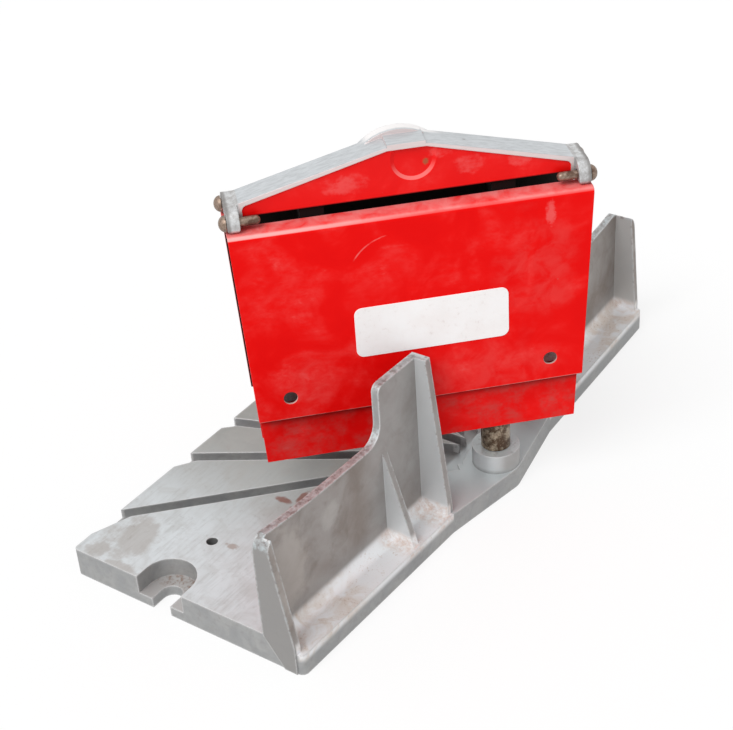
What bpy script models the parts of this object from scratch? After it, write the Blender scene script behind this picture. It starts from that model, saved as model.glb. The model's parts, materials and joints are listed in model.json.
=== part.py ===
"""Swivelling mitre box saw: a die-cast base with a split fence and an enclosed saw on a slotted post.

World frame: +X along the base, +Y from the front edge to the back, +Z up.
The origin is on the underside, in the middle of the base.
The saw head is modelled in its own frame on the pivot axis:
+X to the front end of the blade, +Y to the near side, +Z up from the underside of the base.
"""
import math

import bmesh
import bpy
from mathutils import Matrix, Vector

MM = 0.001

# Running gap between pieces that touch or slide on the real tool
GAP = 0.3 * MM

# Wider clearance where one piece drops or swings past another
PASSING = 2 * MM

# Base casting
BASE_LENGTH = 304 * MM
BASE_DEPTH = 128.5 * MM
BED_TOP = 14.2 * MM
LEDGE_TOP = 10.4 * MM
FRONT_CORNER_RADIUS = 1.8 * MM
BACK_CORNER_RADIUS = 3 * MM
PIVOT_FROM_FRONT = 124.5 * MM
BULGE_WIDTH = 88 * MM
BULGE_LIP = 0.8 * MM
# The back edge and the fence lie this much further forward at the ends than beside the bulge
WING_SPLAY = 4.2 * MM

# Underside hollows of the casting
RIM_WALL = 5 * MM
RIB_WALL = 4 * MM
BED_WALL = 7 * MM
LEDGE_WALL = 4 * MM
END_SOLID = 27 * MM
RIB_PITCH = 50 * MM
CENTRE_PAD_RADIUS = 11 * MM

# Fence
FENCE_FROM_FRONT = 109.5 * MM
FENCE_WALL = 3.6 * MM
FENCE_GAP = 84 * MM
FENCE_TAIL_TOP = 62.4 * MM
FENCE_END_TOP = 65.2 * MM
FENCE_PEAK_TOP = 89.5 * MM
FENCE_PEAK_LENGTH = 29.6 * MM
FENCE_COVE_RADIUS = 9 * MM
FENCE_CORNER_RADIUS = 3.5 * MM
FENCE_END_RADIUS = 7 * MM
LEDGE_COVE_RADIUS = 6 * MM
FLANGE_WALL = 3.6 * MM
FLANGE_PROUD = 0.8 * MM
FLANGE_SLANT = 10 * MM
GAP_RIB_TOP_DEPTH = 4 * MM
NEAR_FLANGE_TOP_DEPTH = 3.4 * MM
FAR_FLANGE_TOP_DEPTH = 8.6 * MM
MID_RIB_WALL = 3.2 * MM
MID_RIB_TOP = 56 * MM

# Saw grooves in the bed, as angles from the square cut
GROOVE_ANGLES = (-45, -31, -18.5, 0, 18.5, 31, 45)
GROOVE_WIDTH = 5.8 * MM
GROOVE_DEPTH = 4.6 * MM
GROOVE_MOUTH = 5 * MM
GROOVE_FLARE = 2.2 * MM

# Bench slots at the two ends, and the screw holes in the bed
SLOT_FROM_FRONT = 48.8 * MM
SLOT_FROM_END = 7.4 * MM
SLOT_WIDTH = 10 * MM
SLOT_POCKET_WIDTH = 24.6 * MM
SLOT_FLOOR = 5 * MM
BED_HOLE_OFFSET = 116.5 * MM
BED_HOLE_FROM_FRONT = 49.9 * MM
BED_HOLE_DIAMETER = 5.2 * MM
BED_HOLE_WALL = 3.5 * MM

# Pivot boss and post
BOSS_DIAMETER = 22 * MM
BOSS_TOP = 20 * MM
POST_DIAMETER = 13.4 * MM
POST_TOP = 96 * MM
POST_CHAMFER = 1.1 * MM
POST_SPIGOT_DIAMETER = 9.4 * MM
POST_SLOT_BOTTOM = 25 * MM
WASHER_DIAMETER = 16 * MM
WASHER_THICKNESS = 1.6 * MM
RETAINER_DEPTH = 6 * MM
RETAINER_SCREW_DIAMETER = 4 * MM
RETAINER_SCREW_GRIP = 9 * MM
RETAINER_HEAD_DIAMETER = 8 * MM
RETAINER_HEAD_HEIGHT = 2.6 * MM
SCREW_CROWN_SHARE = 0.75

# Saw case, a folded sheet open below and at both ends
CASE_LENGTH = 151.6 * MM
CASE_FRONT = 111.6 * MM
CASE_WIDTH = 30 * MM
CASE_TOP = 152.8 * MM
CASE_BOTTOM = 62 * MM
CASE_TAPER = 4 * MM
CASE_SHEET = 1.2 * MM
CASE_FOLD_RADIUS = 2.6 * MM
CASE_BRIDGE = 5.2 * MM
CASE_HOLE_DIAMETER = 6 * MM
CASE_HOLE_HEIGHT = 72.6 * MM
CASE_HOLE_FROM_END = 18.6 * MM

# Guard plates, saddles and blade guides, which swivel with the post
GUARD_WIDTH = 20 * MM
GUARD_SHEET = 1.2 * MM
GUARD_BOTTOM = 37 * MM
GUARD_TOP = 67 * MM
GUARD_END_INSET = 6 * MM
GUARD_TAPER = 1.4 * MM
RISER_WIDTH = 24 * MM
RISER_TOP = 92 * MM
RISER_BLEND = 6 * MM
SADDLE_LENGTH = 15 * MM
SADDLE_INNER = 3 * MM
SADDLE_SCREW_DIAMETER = 3 * MM
SADDLE_SCREW_PITCH = 12 * MM
SADDLE_SCREW_BITE = 3.6 * MM
SADDLE_HEAD_DIAMETER = 5.6 * MM
SADDLE_HEAD_HEIGHT = 2 * MM
GUIDE_LENGTH = 9 * MM
GUIDE_HEIGHT = 24 * MM

# Slide pads and friction leaf between the case and the guard plates
PAD_LENGTH = 16 * MM
PAD_HEIGHT = 15 * MM
REAR_PAD_HEIGHT = 27 * MM
FRONT_PAD_CENTRE = 68 * MM
LEAF_THICKNESS = 0.6 * MM
LEAF_WIDTH = 8 * MM

# Travel of the head on the guard and of the saw along the case
HEAD_TRAVEL = 26 * MM
SAW_STROKE = 25 * MM

# Blade and its back
BLADE_THICKNESS = 0.9 * MM
BLADE_FRONT_INSET = 8 * MM
BLADE_REAR_INSET = 4.5 * MM
TOOTH_TIP = 38.5 * MM
TOOTH_PITCH = 2.1 * MM
TOOTH_DEPTH = 1.4 * MM
HEEL_RISE = 14 * MM
HEEL_BLEND = 8 * MM
BACK_THICKNESS = 5 * MM
BACK_HEIGHT = 14 * MM
BACK_GROOVE_DEPTH = 8.4 * MM
RIVET_DIAMETER = 3.6 * MM
BLADE_RIVET_COUNT = 3

# Handle casting
HANDLE_LENGTH = 143 * MM
HANDLE_THICKNESS = 12.8 * MM
HANDLE_BOTTOM = 157.2 * MM
HANDLE_END_TOP = 163 * MM
HANDLE_PEAK = 180 * MM
HANDLE_EDGE_RADIUS = 1.6 * MM
HANDLE_NOSE_RADIUS = 4.5 * MM
BLOCK_LENGTH = 16 * MM
BLOCK_NOTCH = 1.2 * MM
PANEL_DEPTH = 0.5 * MM
PANEL_RIM = 1.3 * MM
PANEL_END = 3.4 * MM
PANEL_CORNER_RADIUS = 2.4 * MM
DISH_OFFSET = -2.6 * MM
DISH_DROP = 7.6 * MM
DISH_RADIUS = 7.8 * MM
DISH_SLOPE = 1.8 * MM
DISH_DEPTH = 0.9 * MM
THUMB_REST_OFFSET = 2 * MM
THUMB_REST_RADIUS = 22 * MM
THUMB_REST_RISE = 2 * MM
THUMB_REST_RAISE = 2.2 * MM
EAR_THICKNESS = 5.2 * MM
EAR_HALF_WIDTH = 12.6 * MM
EAR_SHOULDER_RADIUS = 6.4 * MM
EAR_TOE_RADIUS = 2.2 * MM
PIN_DIAMETER = 3.8 * MM
PIN_OFFSET = 9 * MM
PIN_REACH = 8.6 * MM
PIN_HEAD_DIAMETER = 7 * MM
PIN_HEAD_HEIGHT = 3 * MM
PIN_WALL = 1.8 * MM
STEM_LENGTH = 10 * MM
STEM_WIDTH = 9.6 * MM
STEM_FORK_DEPTH = 9 * MM

# Rest position of the head: turned to the near mitre, as far as its last groove
REST_ANGLE = math.radians(GROOVE_ANGLES[-1])

# Facets of round pieces, and the length by which a cutter runs past what it cuts
ROUND_SEGMENTS = 40
SMALL_SEGMENTS = 20
ARC_STEPS = 6
OVERCUT = 10 * MM
SMOOTH_ANGLE = math.radians(35)

# Places that follow from the sizes above
HALF_LENGTH = BASE_LENGTH / 2
HALF_DEPTH = BASE_DEPTH / 2
PIVOT_Y = PIVOT_FROM_FRONT - HALF_DEPTH
FENCE_FRONT = FENCE_FROM_FRONT - HALF_DEPTH
FENCE_BACK = FENCE_FRONT + FENCE_WALL
BORE_RADIUS = POST_SPIGOT_DIAMETER / 2 + GAP
SLOT_HALF_WIDTH = BLADE_THICKNESS / 2 + GAP
CASE_REAR = CASE_FRONT - CASE_LENGTH
CASE_MIDDLE = CASE_FRONT - CASE_LENGTH / 2
CASE_INNER = CASE_WIDTH / 2 - CASE_SHEET
GUARD_OUTER = GUARD_WIDTH / 2
GUARD_INNER = GUARD_OUTER - GUARD_SHEET
BLADE_FRONT = CASE_FRONT - BLADE_FRONT_INSET
BLADE_REAR = CASE_REAR + BLADE_REAR_INSET
HEEL_END = BOSS_DIAMETER / 2 + SAW_STROKE + HEEL_BLEND + PASSING
BACK_BOTTOM = POST_TOP + HEAD_TRAVEL + PASSING
BACK_TOP = BACK_BOTTOM + BACK_HEIGHT
BLADE_TOP = BACK_BOTTOM + BACK_GROOVE_DEPTH - GAP
EAR_BOTTOM = CASE_TOP + GAP
PIN_HEIGHT = EAR_BOTTOM + PIN_WALL + PIN_DIAMETER / 2
SADDLE_MIDDLE = (GUARD_TOP + RISER_TOP) / 2

SIDES = ((1, "near"), (-1, "far"))
ENDS = ((1, "front"), (-1, "rear"))

PLANES = {
    "XY": lambda a, b, c: (a, b, c),
    "XZ": lambda a, b, c: (a, c, b),
    "YZ": lambda a, b, c: (c, a, b),
}


def new_object(name, mesh):
    obj = bpy.data.objects.new(name, mesh)
    bpy.context.scene.collection.objects.link(obj)
    return obj


def from_bmesh(name, bm):
    bmesh.ops.recalc_face_normals(bm, faces=bm.faces)
    if bm.calc_volume(signed=True) < 0:
        bmesh.ops.reverse_faces(bm, faces=bm.faces)
    mesh = bpy.data.meshes.new(name)
    bm.to_mesh(mesh)
    bm.free()
    return new_object(name, mesh)


def prism(name, outline, plane, start, end):
    """Extrude a closed 2D outline, drawn in the named plane, from start to end along the third axis."""
    place = PLANES[plane]
    bm = bmesh.new()
    first = [bm.verts.new(place(a, b, start)) for a, b in outline]
    last = [bm.verts.new(place(a, b, end)) for a, b in outline]
    bm.faces.new(first)
    bm.faces.new(list(reversed(last)))
    for i in range(len(outline)):
        j = (i + 1) % len(outline)
        bm.faces.new((first[i], first[j], last[j], last[i]))
    return from_bmesh(name, bm)


def box(name, low, high):
    outline = [(low[0], low[1]), (high[0], low[1]), (high[0], high[1]), (low[0], high[1])]
    return prism(name, outline, "XY", low[2], high[2])


def arc(centre, radius, start, end, steps=ARC_STEPS):
    """Points on a circle from one angle in degrees to another, both ends included."""
    angles = [math.radians(start + (end - start) * i / steps) for i in range(steps + 1)]
    return [(centre[0] + radius * math.cos(a), centre[1] + radius * math.sin(a)) for a in angles]


def circle(centre, radius, segments):
    return arc(centre, radius, 0, 360, segments)[:-1]


def rounded(corners):
    """Turn corners (a, b, radius) into an outline whose corners are arcs."""
    outline = []
    for i, (a, b, radius) in enumerate(corners):
        point = Vector((a, b))
        back = (Vector(corners[i - 1][:2]) - point).normalized()
        ahead = (Vector(corners[(i + 1) % len(corners)][:2]) - point).normalized()
        if radius == 0:
            outline.append((a, b))
            continue
        half = back.angle(ahead) / 2
        centre = point + (back + ahead).normalized() * (radius / math.sin(half))
        start = point + back * (radius / math.tan(half)) - centre
        end = point + ahead * (radius / math.tan(half)) - centre
        for step in range(ARC_STEPS + 1):
            mixed = start.lerp(end, step / ARC_STEPS).normalized() * radius
            outline.append(tuple(centre + mixed))
    return outline


def turned(name, profile, segments, matrix):
    """Spin a profile of (radius, height) points, with both ends on the axis, and place it by a matrix."""
    bm = bmesh.new()
    verts = [bm.verts.new((r, 0, h)) for r, h in profile]
    edges = [bm.edges.new(pair) for pair in zip(verts, verts[1:])]
    bmesh.ops.spin(bm, geom=verts + edges, cent=(0, 0, 0), axis=(0, 0, 1),
                   angle=math.tau, steps=segments, use_merge=True)
    bmesh.ops.remove_doubles(bm, verts=bm.verts, dist=0.001 * MM)
    bm.transform(matrix)
    return from_bmesh(name, bm)


def aimed(origin, direction):
    """Matrix that turns +Z to a direction and moves it to an origin."""
    return Matrix.Translation(origin) @ Vector(direction).to_track_quat("Z", "Y").to_matrix().to_4x4()


def combine(target, tools, operation):
    """Apply an exact Boolean with each tool in turn, and delete the tools."""
    for tool in tools:
        modifier = target.modifiers.new(operation.lower(), "BOOLEAN")
        modifier.operation = operation
        modifier.solver = "EXACT"
        modifier.object = tool
        evaluated = target.evaluated_get(bpy.context.evaluated_depsgraph_get())
        result = bpy.data.meshes.new_from_object(evaluated)
        target.modifiers.clear()
        target.data = result
        bpy.data.objects.remove(tool)
    return target


def cut(target, tools):
    return combine(target, tools, "DIFFERENCE")


def join(target, tools):
    return combine(target, tools, "UNION")


def material(name, colour, roughness, metallic):
    found = bpy.data.materials.new(name)
    found.use_nodes = True
    shader = found.node_tree.nodes["Principled BSDF"]
    shader.inputs["Base Color"].default_value = (*colour, 1)
    shader.inputs["Roughness"].default_value = roughness
    shader.inputs["Metallic"].default_value = metallic
    return found


def finish(obj, name, finish_material, parent=None):
    """Name a finished piece, give it its material and shading, and hang it on its joint's empty."""
    obj.name = name
    obj.data.name = name
    obj.data.materials.clear()
    obj.data.materials.append(finish_material)
    obj.data.shade_smooth()
    obj.data.set_sharp_from_angle(angle=SMOOTH_ANGLE)
    obj.parent = parent
    return obj


def empty(name, parent=None):
    axis = new_object(name, None)
    axis.parent = parent
    return axis


# Base casting

def splay(x):
    """How far forward the back edge and the fence lie at x, against their place beside the bulge."""
    return WING_SPLAY * (abs(x) - BULGE_WIDTH / 2) / (HALF_LENGTH - BULGE_WIDTH / 2)


def splayed(obj):
    """Slide a piece that was built straight forward along the splayed back edge."""
    for vertex in obj.data.vertices:
        vertex.co.y -= splay(vertex.co.x)
    return obj


def base_plan():
    """Plan of the base: its back edge draws in at the ends and swells to a point round the pivot boss."""
    bulge_back = PIVOT_Y + BOSS_DIAMETER / 2 + BULGE_LIP
    end = HALF_LENGTH - FLANGE_PROUD
    end_back = HALF_DEPTH - splay(end)
    return rounded([
        (-end, -HALF_DEPTH, FRONT_CORNER_RADIUS),
        (end, -HALF_DEPTH, FRONT_CORNER_RADIUS),
        (end, end_back, BACK_CORNER_RADIUS),
        (BULGE_WIDTH / 2, HALF_DEPTH, 0),
        (0, bulge_back, BOSS_DIAMETER / 2),
        (-BULGE_WIDTH / 2, HALF_DEPTH, 0),
        (-end, end_back, BACK_CORNER_RADIUS),
    ])


def fence_profile(side):
    """Side view of one fence wing: a low tail that rises to its end, and a tall block beside the gap."""
    inner = FENCE_GAP / 2
    rise = inner + FENCE_PEAK_LENGTH
    low = rise + FENCE_COVE_RADIUS
    end = HALF_LENGTH
    outline = [(inner, GAP), (end, GAP)]
    outline += arc((end - FENCE_END_RADIUS, FENCE_END_TOP - FENCE_END_RADIUS), FENCE_END_RADIUS, 0, 75)
    crest = outline[-1]
    for step in range(1, ARC_STEPS + 1):
        share = 1 - step / ARC_STEPS
        x = low + (crest[0] - low) * share
        outline.append((x, FENCE_TAIL_TOP + (crest[1] - FENCE_TAIL_TOP) * share ** 3))
    outline += arc((low, FENCE_TAIL_TOP + FENCE_COVE_RADIUS), FENCE_COVE_RADIUS, 270, 180)[1:]
    outline += arc((rise - FENCE_CORNER_RADIUS, FENCE_PEAK_TOP - FENCE_CORNER_RADIUS),
                   FENCE_CORNER_RADIUS, 0, 90)
    outline.append((inner, FENCE_PEAK_TOP))
    return [(side * x, z) for x, z in outline]


def brace(side, start, end, top, top_depth, foot):
    """A rib behind the fence, from the wall's back face down to the back edge of the ledge."""
    root = LEDGE_TOP / 2
    back = HALF_DEPTH - BACK_CORNER_RADIUS / 2
    inside = FENCE_BACK - FENCE_WALL / 2
    outline = [
        (inside, root),
        (back, root),
        (back, LEDGE_TOP + foot),
        (FENCE_BACK + top_depth, top),
        (inside, top),
    ]
    low, high = sorted((side * start, side * end))
    return prism("brace", outline, "YZ", low, high)


def end_flange(side):
    """The flange that closes a wing's end and runs on down the base, its lower front edge slanted."""
    back = HALF_DEPTH - BACK_CORNER_RADIUS
    front = FENCE_FRONT - OVERCUT
    slant = FENCE_FRONT + FLANGE_SLANT
    top = FENCE_BACK + (NEAR_FLANGE_TOP_DEPTH if side > 0 else FAR_FLANGE_TOP_DEPTH)
    outline = [
        (front, BED_TOP), (FENCE_FRONT, BED_TOP), (slant, 0), (slant, -OVERCUT),
        (back, -OVERCUT), (back, LEDGE_TOP + FLANGE_WALL),
        (top, FENCE_END_TOP), (top, FENCE_END_TOP + OVERCUT), (front, FENCE_END_TOP + OVERCUT),
    ]
    low, high = sorted((side * (HALF_LENGTH - FLANGE_WALL), side * (HALF_LENGTH + OVERCUT)))
    return prism("flange", outline, "YZ", low, high)


def fence_wing(side):
    """Wall, coved foot, end flange, gap rib and one thin rib of the fence on one side of the gap."""
    inner = FENCE_GAP / 2
    rise = inner + FENCE_PEAK_LENGTH
    end = HALF_LENGTH - FLANGE_WALL / 2
    root = LEDGE_TOP / 2
    above = FENCE_PEAK_TOP + OVERCUT
    wall_ends = sorted((side * (inner - OVERCUT), side * end))
    wall = box("wall", (wall_ends[0], FENCE_FRONT - OVERCUT, root), (wall_ends[1], FENCE_BACK, above))
    cove_centre = (FENCE_BACK + LEDGE_COVE_RADIUS, LEDGE_TOP + LEDGE_COVE_RADIUS)
    cove = arc(cove_centre, LEDGE_COVE_RADIUS, 180, 270)
    cove += [(cove_centre[0], root), (FENCE_FRONT + FENCE_WALL / 2, root)]
    cove.append((FENCE_FRONT + FENCE_WALL / 2, cove_centre[1]))
    cove_ends = sorted((side * (inner + FLANGE_WALL / 2), side * end))
    join(wall, [
        prism("cove", cove, "YZ", *cove_ends),
        brace(side, inner - OVERCUT, inner + FLANGE_WALL, above, GAP_RIB_TOP_DEPTH, FLANGE_WALL),
        brace(side, rise - MID_RIB_WALL, rise, MID_RIB_TOP, 0, 0),
        end_flange(side),
    ])
    profile = prism("profile", fence_profile(side), "XZ", FENCE_FRONT, HALF_DEPTH)
    return splayed(combine(profile, [wall], "INTERSECT"))


def groove(angle):
    """Cutter for one saw groove, aimed at the pivot, whose mouth flares away from the square cut."""
    half = GROOVE_WIDTH / 2
    turn = math.radians(angle)
    skew = half * abs(math.tan(turn))
    start = (PIVOT_FROM_FRONT - FENCE_FROM_FRONT) / math.cos(turn) - skew - GAP
    edge = PIVOT_FROM_FRONT / math.cos(turn)
    mouth = edge - GROOVE_MOUTH / math.cos(turn)
    far = edge + skew + OVERCUT
    wide = half + GROOVE_FLARE * (far - mouth) / GROOVE_MOUTH
    left = wide if angle >= 0 else half
    right = wide if angle <= 0 else half
    outline = [(start, -half), (mouth, -half), (far, -right), (far, left), (mouth, half), (start, half)]
    cutter = prism("groove", outline, "XY", BED_TOP - GROOVE_DEPTH, BED_TOP + OVERCUT)
    aim = Matrix.Rotation(turn - math.pi / 2, 4, "Z")
    cutter.data.transform(Matrix.Translation((0, PIVOT_Y, 0)) @ aim)
    return cutter


def bench_slot(side, width, bottom):
    """Cutter for a slot that is open to one end of the base."""
    centre = HALF_LENGTH - SLOT_FROM_END
    y = SLOT_FROM_FRONT - HALF_DEPTH
    outline = arc((centre, y), width / 2, 90, 270, ARC_STEPS * 2)
    outline += [(HALF_LENGTH + OVERCUT, y - width / 2), (HALF_LENGTH + OVERCUT, y + width / 2)]
    return prism("slot", [(side * a, b) for a, b in outline], "XY", bottom, BED_TOP + OVERCUT)


def underside_hollows():
    """Cutters for the hollows between the rim and the ribs under the bed and under the ledge."""
    bed_rows = [(-HALF_DEPTH + RIM_WALL, -RIB_WALL / 2), (RIB_WALL / 2, FENCE_FRONT - WING_SPLAY - RIB_WALL)]
    reach = HALF_LENGTH - END_SOLID
    ledge_row = (FENCE_BACK, HALF_DEPTH - splay(reach) - RIM_WALL)
    cells = math.ceil(reach / RIB_PITCH)
    cutters = []
    for side in (-1, 1):
        for cell in range(cells):
            near = cell * reach / cells + RIB_WALL / 2
            far = (cell + 1) * reach / cells - RIB_WALL / 2
            low, high = sorted((side * near, side * far))
            for front, back in bed_rows:
                cutters.append(box("hollow", (low, front, -OVERCUT), (high, back, BED_TOP - BED_WALL)))
        low, high = sorted((side * (BULGE_WIDTH / 2 + RIB_WALL), side * reach))
        cutters.append(box("hollow", (low, ledge_row[0], -OVERCUT),
                           (high, ledge_row[1], LEDGE_TOP - LEDGE_WALL)))
    return cutters


def base_casting(finish_material):
    base = prism("base", base_plan(), "XY", 0, BED_TOP)
    middle = FENCE_FRONT + FENCE_WALL / 2
    bend = BULGE_WIDTH / 2
    end = HALF_LENGTH + OVERCUT
    strip = [(-end, middle - splay(end)), (-bend, middle), (bend, middle), (end, middle - splay(end)),
             (end, BASE_DEPTH), (-end, BASE_DEPTH)]
    back_strip = prism("strip", strip, "XY", LEDGE_TOP, BED_TOP + OVERCUT)
    gap_floor = box("floor", (-FENCE_GAP / 2, FENCE_FRONT, LEDGE_TOP),
                    (FENCE_GAP / 2, BASE_DEPTH, BED_TOP + OVERCUT))
    cut(base, [back_strip, gap_floor] + underside_hollows())
    hole_y = BED_HOLE_FROM_FRONT - HALF_DEPTH
    hole_radius = BED_HOLE_DIAMETER / 2
    pillars = [circle((0, 0), CENTRE_PAD_RADIUS, ROUND_SEGMENTS)]
    pillars += [circle((side * BED_HOLE_OFFSET, hole_y), hole_radius + BED_HOLE_WALL, SMALL_SEGMENTS)
                for side in (-1, 1)]
    join(base, [prism("pillar", outline, "XY", 0, BED_TOP - BED_WALL / 2) for outline in pillars])
    boss = prism("boss", circle((0, PIVOT_Y), BOSS_DIAMETER / 2, ROUND_SEGMENTS), "XY",
                 LEDGE_TOP / 2, BOSS_TOP)
    join(base, [boss, fence_wing(1), fence_wing(-1)])
    holes = [prism("hole", circle((side * BED_HOLE_OFFSET, hole_y), hole_radius, SMALL_SEGMENTS), "XY",
                   -OVERCUT, BED_TOP + OVERCUT) for side in (-1, 1)]
    bore = prism("bore", circle((0, PIVOT_Y), BORE_RADIUS, ROUND_SEGMENTS), "XY",
                 -OVERCUT, BOSS_TOP + OVERCUT)
    recess_radius = WASHER_DIAMETER / 2 + GAP
    recess = prism("recess", circle((0, PIVOT_Y), recess_radius, ROUND_SEGMENTS), "XY",
                   -OVERCUT, RETAINER_DEPTH)
    slots = [bench_slot(side, SLOT_POCKET_WIDTH, SLOT_FLOOR) for side in (-1, 1)]
    slots += [bench_slot(side, SLOT_WIDTH, -OVERCUT) for side in (-1, 1)]
    cut(base, [groove(angle) for angle in GROOVE_ANGLES] + holes + [bore, recess] + slots)
    return finish(base, "base_casting", finish_material)


# Pieces that swivel with the post

def pivot_post(finish_material, parent):
    """Slotted post: a stout upper part on the boss, and a spigot in its bore, tapped for a screw."""
    shoulder = BOSS_TOP + GAP
    spigot_end = RETAINER_DEPTH
    tapped = RETAINER_SCREW_DIAMETER / 2 + GAP
    tap_end = spigot_end + RETAINER_SCREW_GRIP + GAP
    radius = POST_DIAMETER / 2
    post = turned("post", [
        (0, POST_TOP), (radius - POST_CHAMFER, POST_TOP), (radius, POST_TOP - POST_CHAMFER),
        (radius, shoulder),
        (POST_SPIGOT_DIAMETER / 2, shoulder), (POST_SPIGOT_DIAMETER / 2, spigot_end),
        (tapped, spigot_end), (tapped, tap_end), (0, tap_end),
    ], ROUND_SEGMENTS, Matrix())
    slot = box("slot", (-POST_DIAMETER, -SLOT_HALF_WIDTH, POST_SLOT_BOTTOM),
               (POST_DIAMETER, SLOT_HALF_WIDTH, POST_TOP + OVERCUT))
    bore = SADDLE_SCREW_DIAMETER / 2 + GAP
    depth = POST_DIAMETER / 2 - SADDLE_SCREW_BITE - GAP
    holes = []
    for side in (-1, 1):
        for height in saddle_screw_heights():
            low, high = sorted((side * depth, side * POST_DIAMETER))
            holes.append(prism("hole", circle((0, height), bore, SMALL_SEGMENTS), "XZ", low, high))
    return finish(cut(post, [slot] + holes), "pivot_post", finish_material, parent)


def retainers(finish_material, parent):
    """Washer and screw in the recess under the base, which hold the post down."""
    washer_top = RETAINER_DEPTH - GAP
    washer_bottom = washer_top - WASHER_THICKNESS
    hole = RETAINER_SCREW_DIAMETER / 2 + GAP
    rim = circle((0, 0), WASHER_DIAMETER / 2, ROUND_SEGMENTS)
    washer = prism("washer", rim, "XY", washer_bottom, washer_top)
    cut(washer, [prism("hole", circle((0, 0), hole, SMALL_SEGMENTS), "XY", -OVERCUT, BED_TOP)])
    finish(washer, "retaining_washer", finish_material, parent)
    head_top = washer_bottom - GAP
    head_radius = RETAINER_HEAD_DIAMETER / 2
    shank = RETAINER_SCREW_DIAMETER / 2
    head_bottom = head_top - RETAINER_HEAD_HEIGHT
    screw = turned("screw", [
        (0, RETAINER_DEPTH + RETAINER_SCREW_GRIP), (shank, RETAINER_DEPTH + RETAINER_SCREW_GRIP),
        (shank, head_top), (head_radius, head_top), (head_radius, head_bottom + RETAINER_HEAD_HEIGHT / 3),
        (head_radius * SCREW_CROWN_SHARE, head_bottom), (0, head_bottom),
    ], SMALL_SEGMENTS, Matrix())
    finish(screw, "retaining_screw", finish_material, parent)


def saddle_screw_heights():
    return (SADDLE_MIDDLE - SADDLE_SCREW_PITCH / 2, SADDLE_MIDDLE + SADDLE_SCREW_PITCH / 2)


def screw_holes(side, inner, outer):
    """Cutters for the two saddle screws through a plate or saddle on one side of the post."""
    radius = SADDLE_SCREW_DIAMETER / 2 + GAP
    low, high = sorted((side * inner, side * outer))
    return [prism("hole", circle((0, height), radius, SMALL_SEGMENTS), "XZ", low, high)
            for height in saddle_screw_heights()]


def guard_plate(side, name, finish_material, parent):
    """Lower side plate of the saw, hung on the post by a riser that the case hides."""
    front = CASE_FRONT - GUARD_END_INSET
    rear = CASE_REAR + GUARD_END_INSET - GUARD_TAPER
    riser = RISER_WIDTH / 2
    outline = [
        (rear + GUARD_TAPER, GUARD_BOTTOM), (front, GUARD_BOTTOM), (front + GUARD_TAPER, GUARD_TOP),
        (riser + RISER_BLEND, GUARD_TOP), (riser, GUARD_TOP + RISER_BLEND), (riser, RISER_TOP),
        (-riser, RISER_TOP), (-riser, GUARD_TOP + RISER_BLEND), (-riser - RISER_BLEND, GUARD_TOP),
        (rear, GUARD_TOP),
    ]
    low, high = sorted((side * GUARD_INNER, side * GUARD_OUTER))
    plate = prism("plate", outline, "XZ", low, high)
    cut(plate, screw_holes(side, 0, CASE_WIDTH))
    finish(plate, name, finish_material, parent)


def saddle(side, name, finish_material, parent):
    """Block that fits the round of the post on one face and carries the guard plate on the other."""
    low, high = sorted((side * SADDLE_INNER, side * (GUARD_INNER - GAP)))
    half = SADDLE_LENGTH / 2
    block = box("saddle", (-half, low, GUARD_TOP), (half, high, RISER_TOP - GAP))
    seat = prism("seat", circle((0, 0), POST_DIAMETER / 2 + GAP, ROUND_SEGMENTS), "XY", 0, POST_TOP)
    cut(block, [seat] + screw_holes(side, 0, CASE_WIDTH))
    finish(block, name, finish_material, parent)


def saddle_screws(finish_material, parent):
    """Two round-headed screws a side, through plate and saddle into the post."""
    shank = SADDLE_SCREW_DIAMETER / 2
    head = SADDLE_HEAD_DIAMETER / 2
    tip = POST_DIAMETER / 2 - SADDLE_SCREW_BITE
    seat = GUARD_OUTER + GAP
    profile = [
        (0, seat + SADDLE_HEAD_HEIGHT), (head * SCREW_CROWN_SHARE, seat + SADDLE_HEAD_HEIGHT),
        (head, seat + SADDLE_HEAD_HEIGHT / 2), (head, seat), (shank, seat), (shank, tip), (0, tip),
    ]
    for side, side_word in SIDES:
        for height, level in zip(saddle_screw_heights(), ("lower", "upper")):
            screw = turned("screw", profile, SMALL_SEGMENTS, aimed((0, 0, height), (0, side, 0)))
            finish(screw, "saddle_screw_" + level + "_" + side_word, finish_material, parent)


def blade_guide(side, name, finish_material, parent):
    """Block at the front of a guard plate that keeps the blade upright."""
    low, high = sorted((side * SLOT_HALF_WIDTH, side * (GUARD_INNER - GAP)))
    front = CASE_FRONT - GUARD_END_INSET - GUARD_TAPER
    bottom = GUARD_BOTTOM + GUARD_SHEET
    lead = GUIDE_LENGTH / 4
    outline = rounded([
        (front - GUIDE_LENGTH, bottom, 0), (front, bottom, 0),
        (front, bottom + GUIDE_HEIGHT, lead), (front - GUIDE_LENGTH, bottom + GUIDE_HEIGHT, lead),
    ])
    finish(prism("guide", outline, "XZ", low, high), name, finish_material, parent)


# Pieces that rise and fall with the case

def case_ends(height):
    """Front and rear ends of the case at a height: both draw in towards the bottom."""
    inset = CASE_TAPER * (CASE_TOP - height) / (CASE_TOP - CASE_BOTTOM)
    return CASE_FRONT - inset, CASE_REAR + inset


def case_section():
    """Cross section of the folded sheet, as (across, height) points round an inverted U."""
    half = CASE_WIDTH / 2
    bend = CASE_FOLD_RADIUS
    inner_bend = bend - CASE_SHEET
    outer = [(half, CASE_BOTTOM)] + arc((half - bend, CASE_TOP - bend), bend, 0, 90)
    inner = [(CASE_INNER, CASE_BOTTOM)] + arc((half - bend, CASE_TOP - bend), inner_bend, 0, 90)
    outer += [(-a, b) for a, b in reversed(outer)]
    inner += [(-a, b) for a, b in reversed(inner)]
    return outer + list(reversed(inner))


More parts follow.
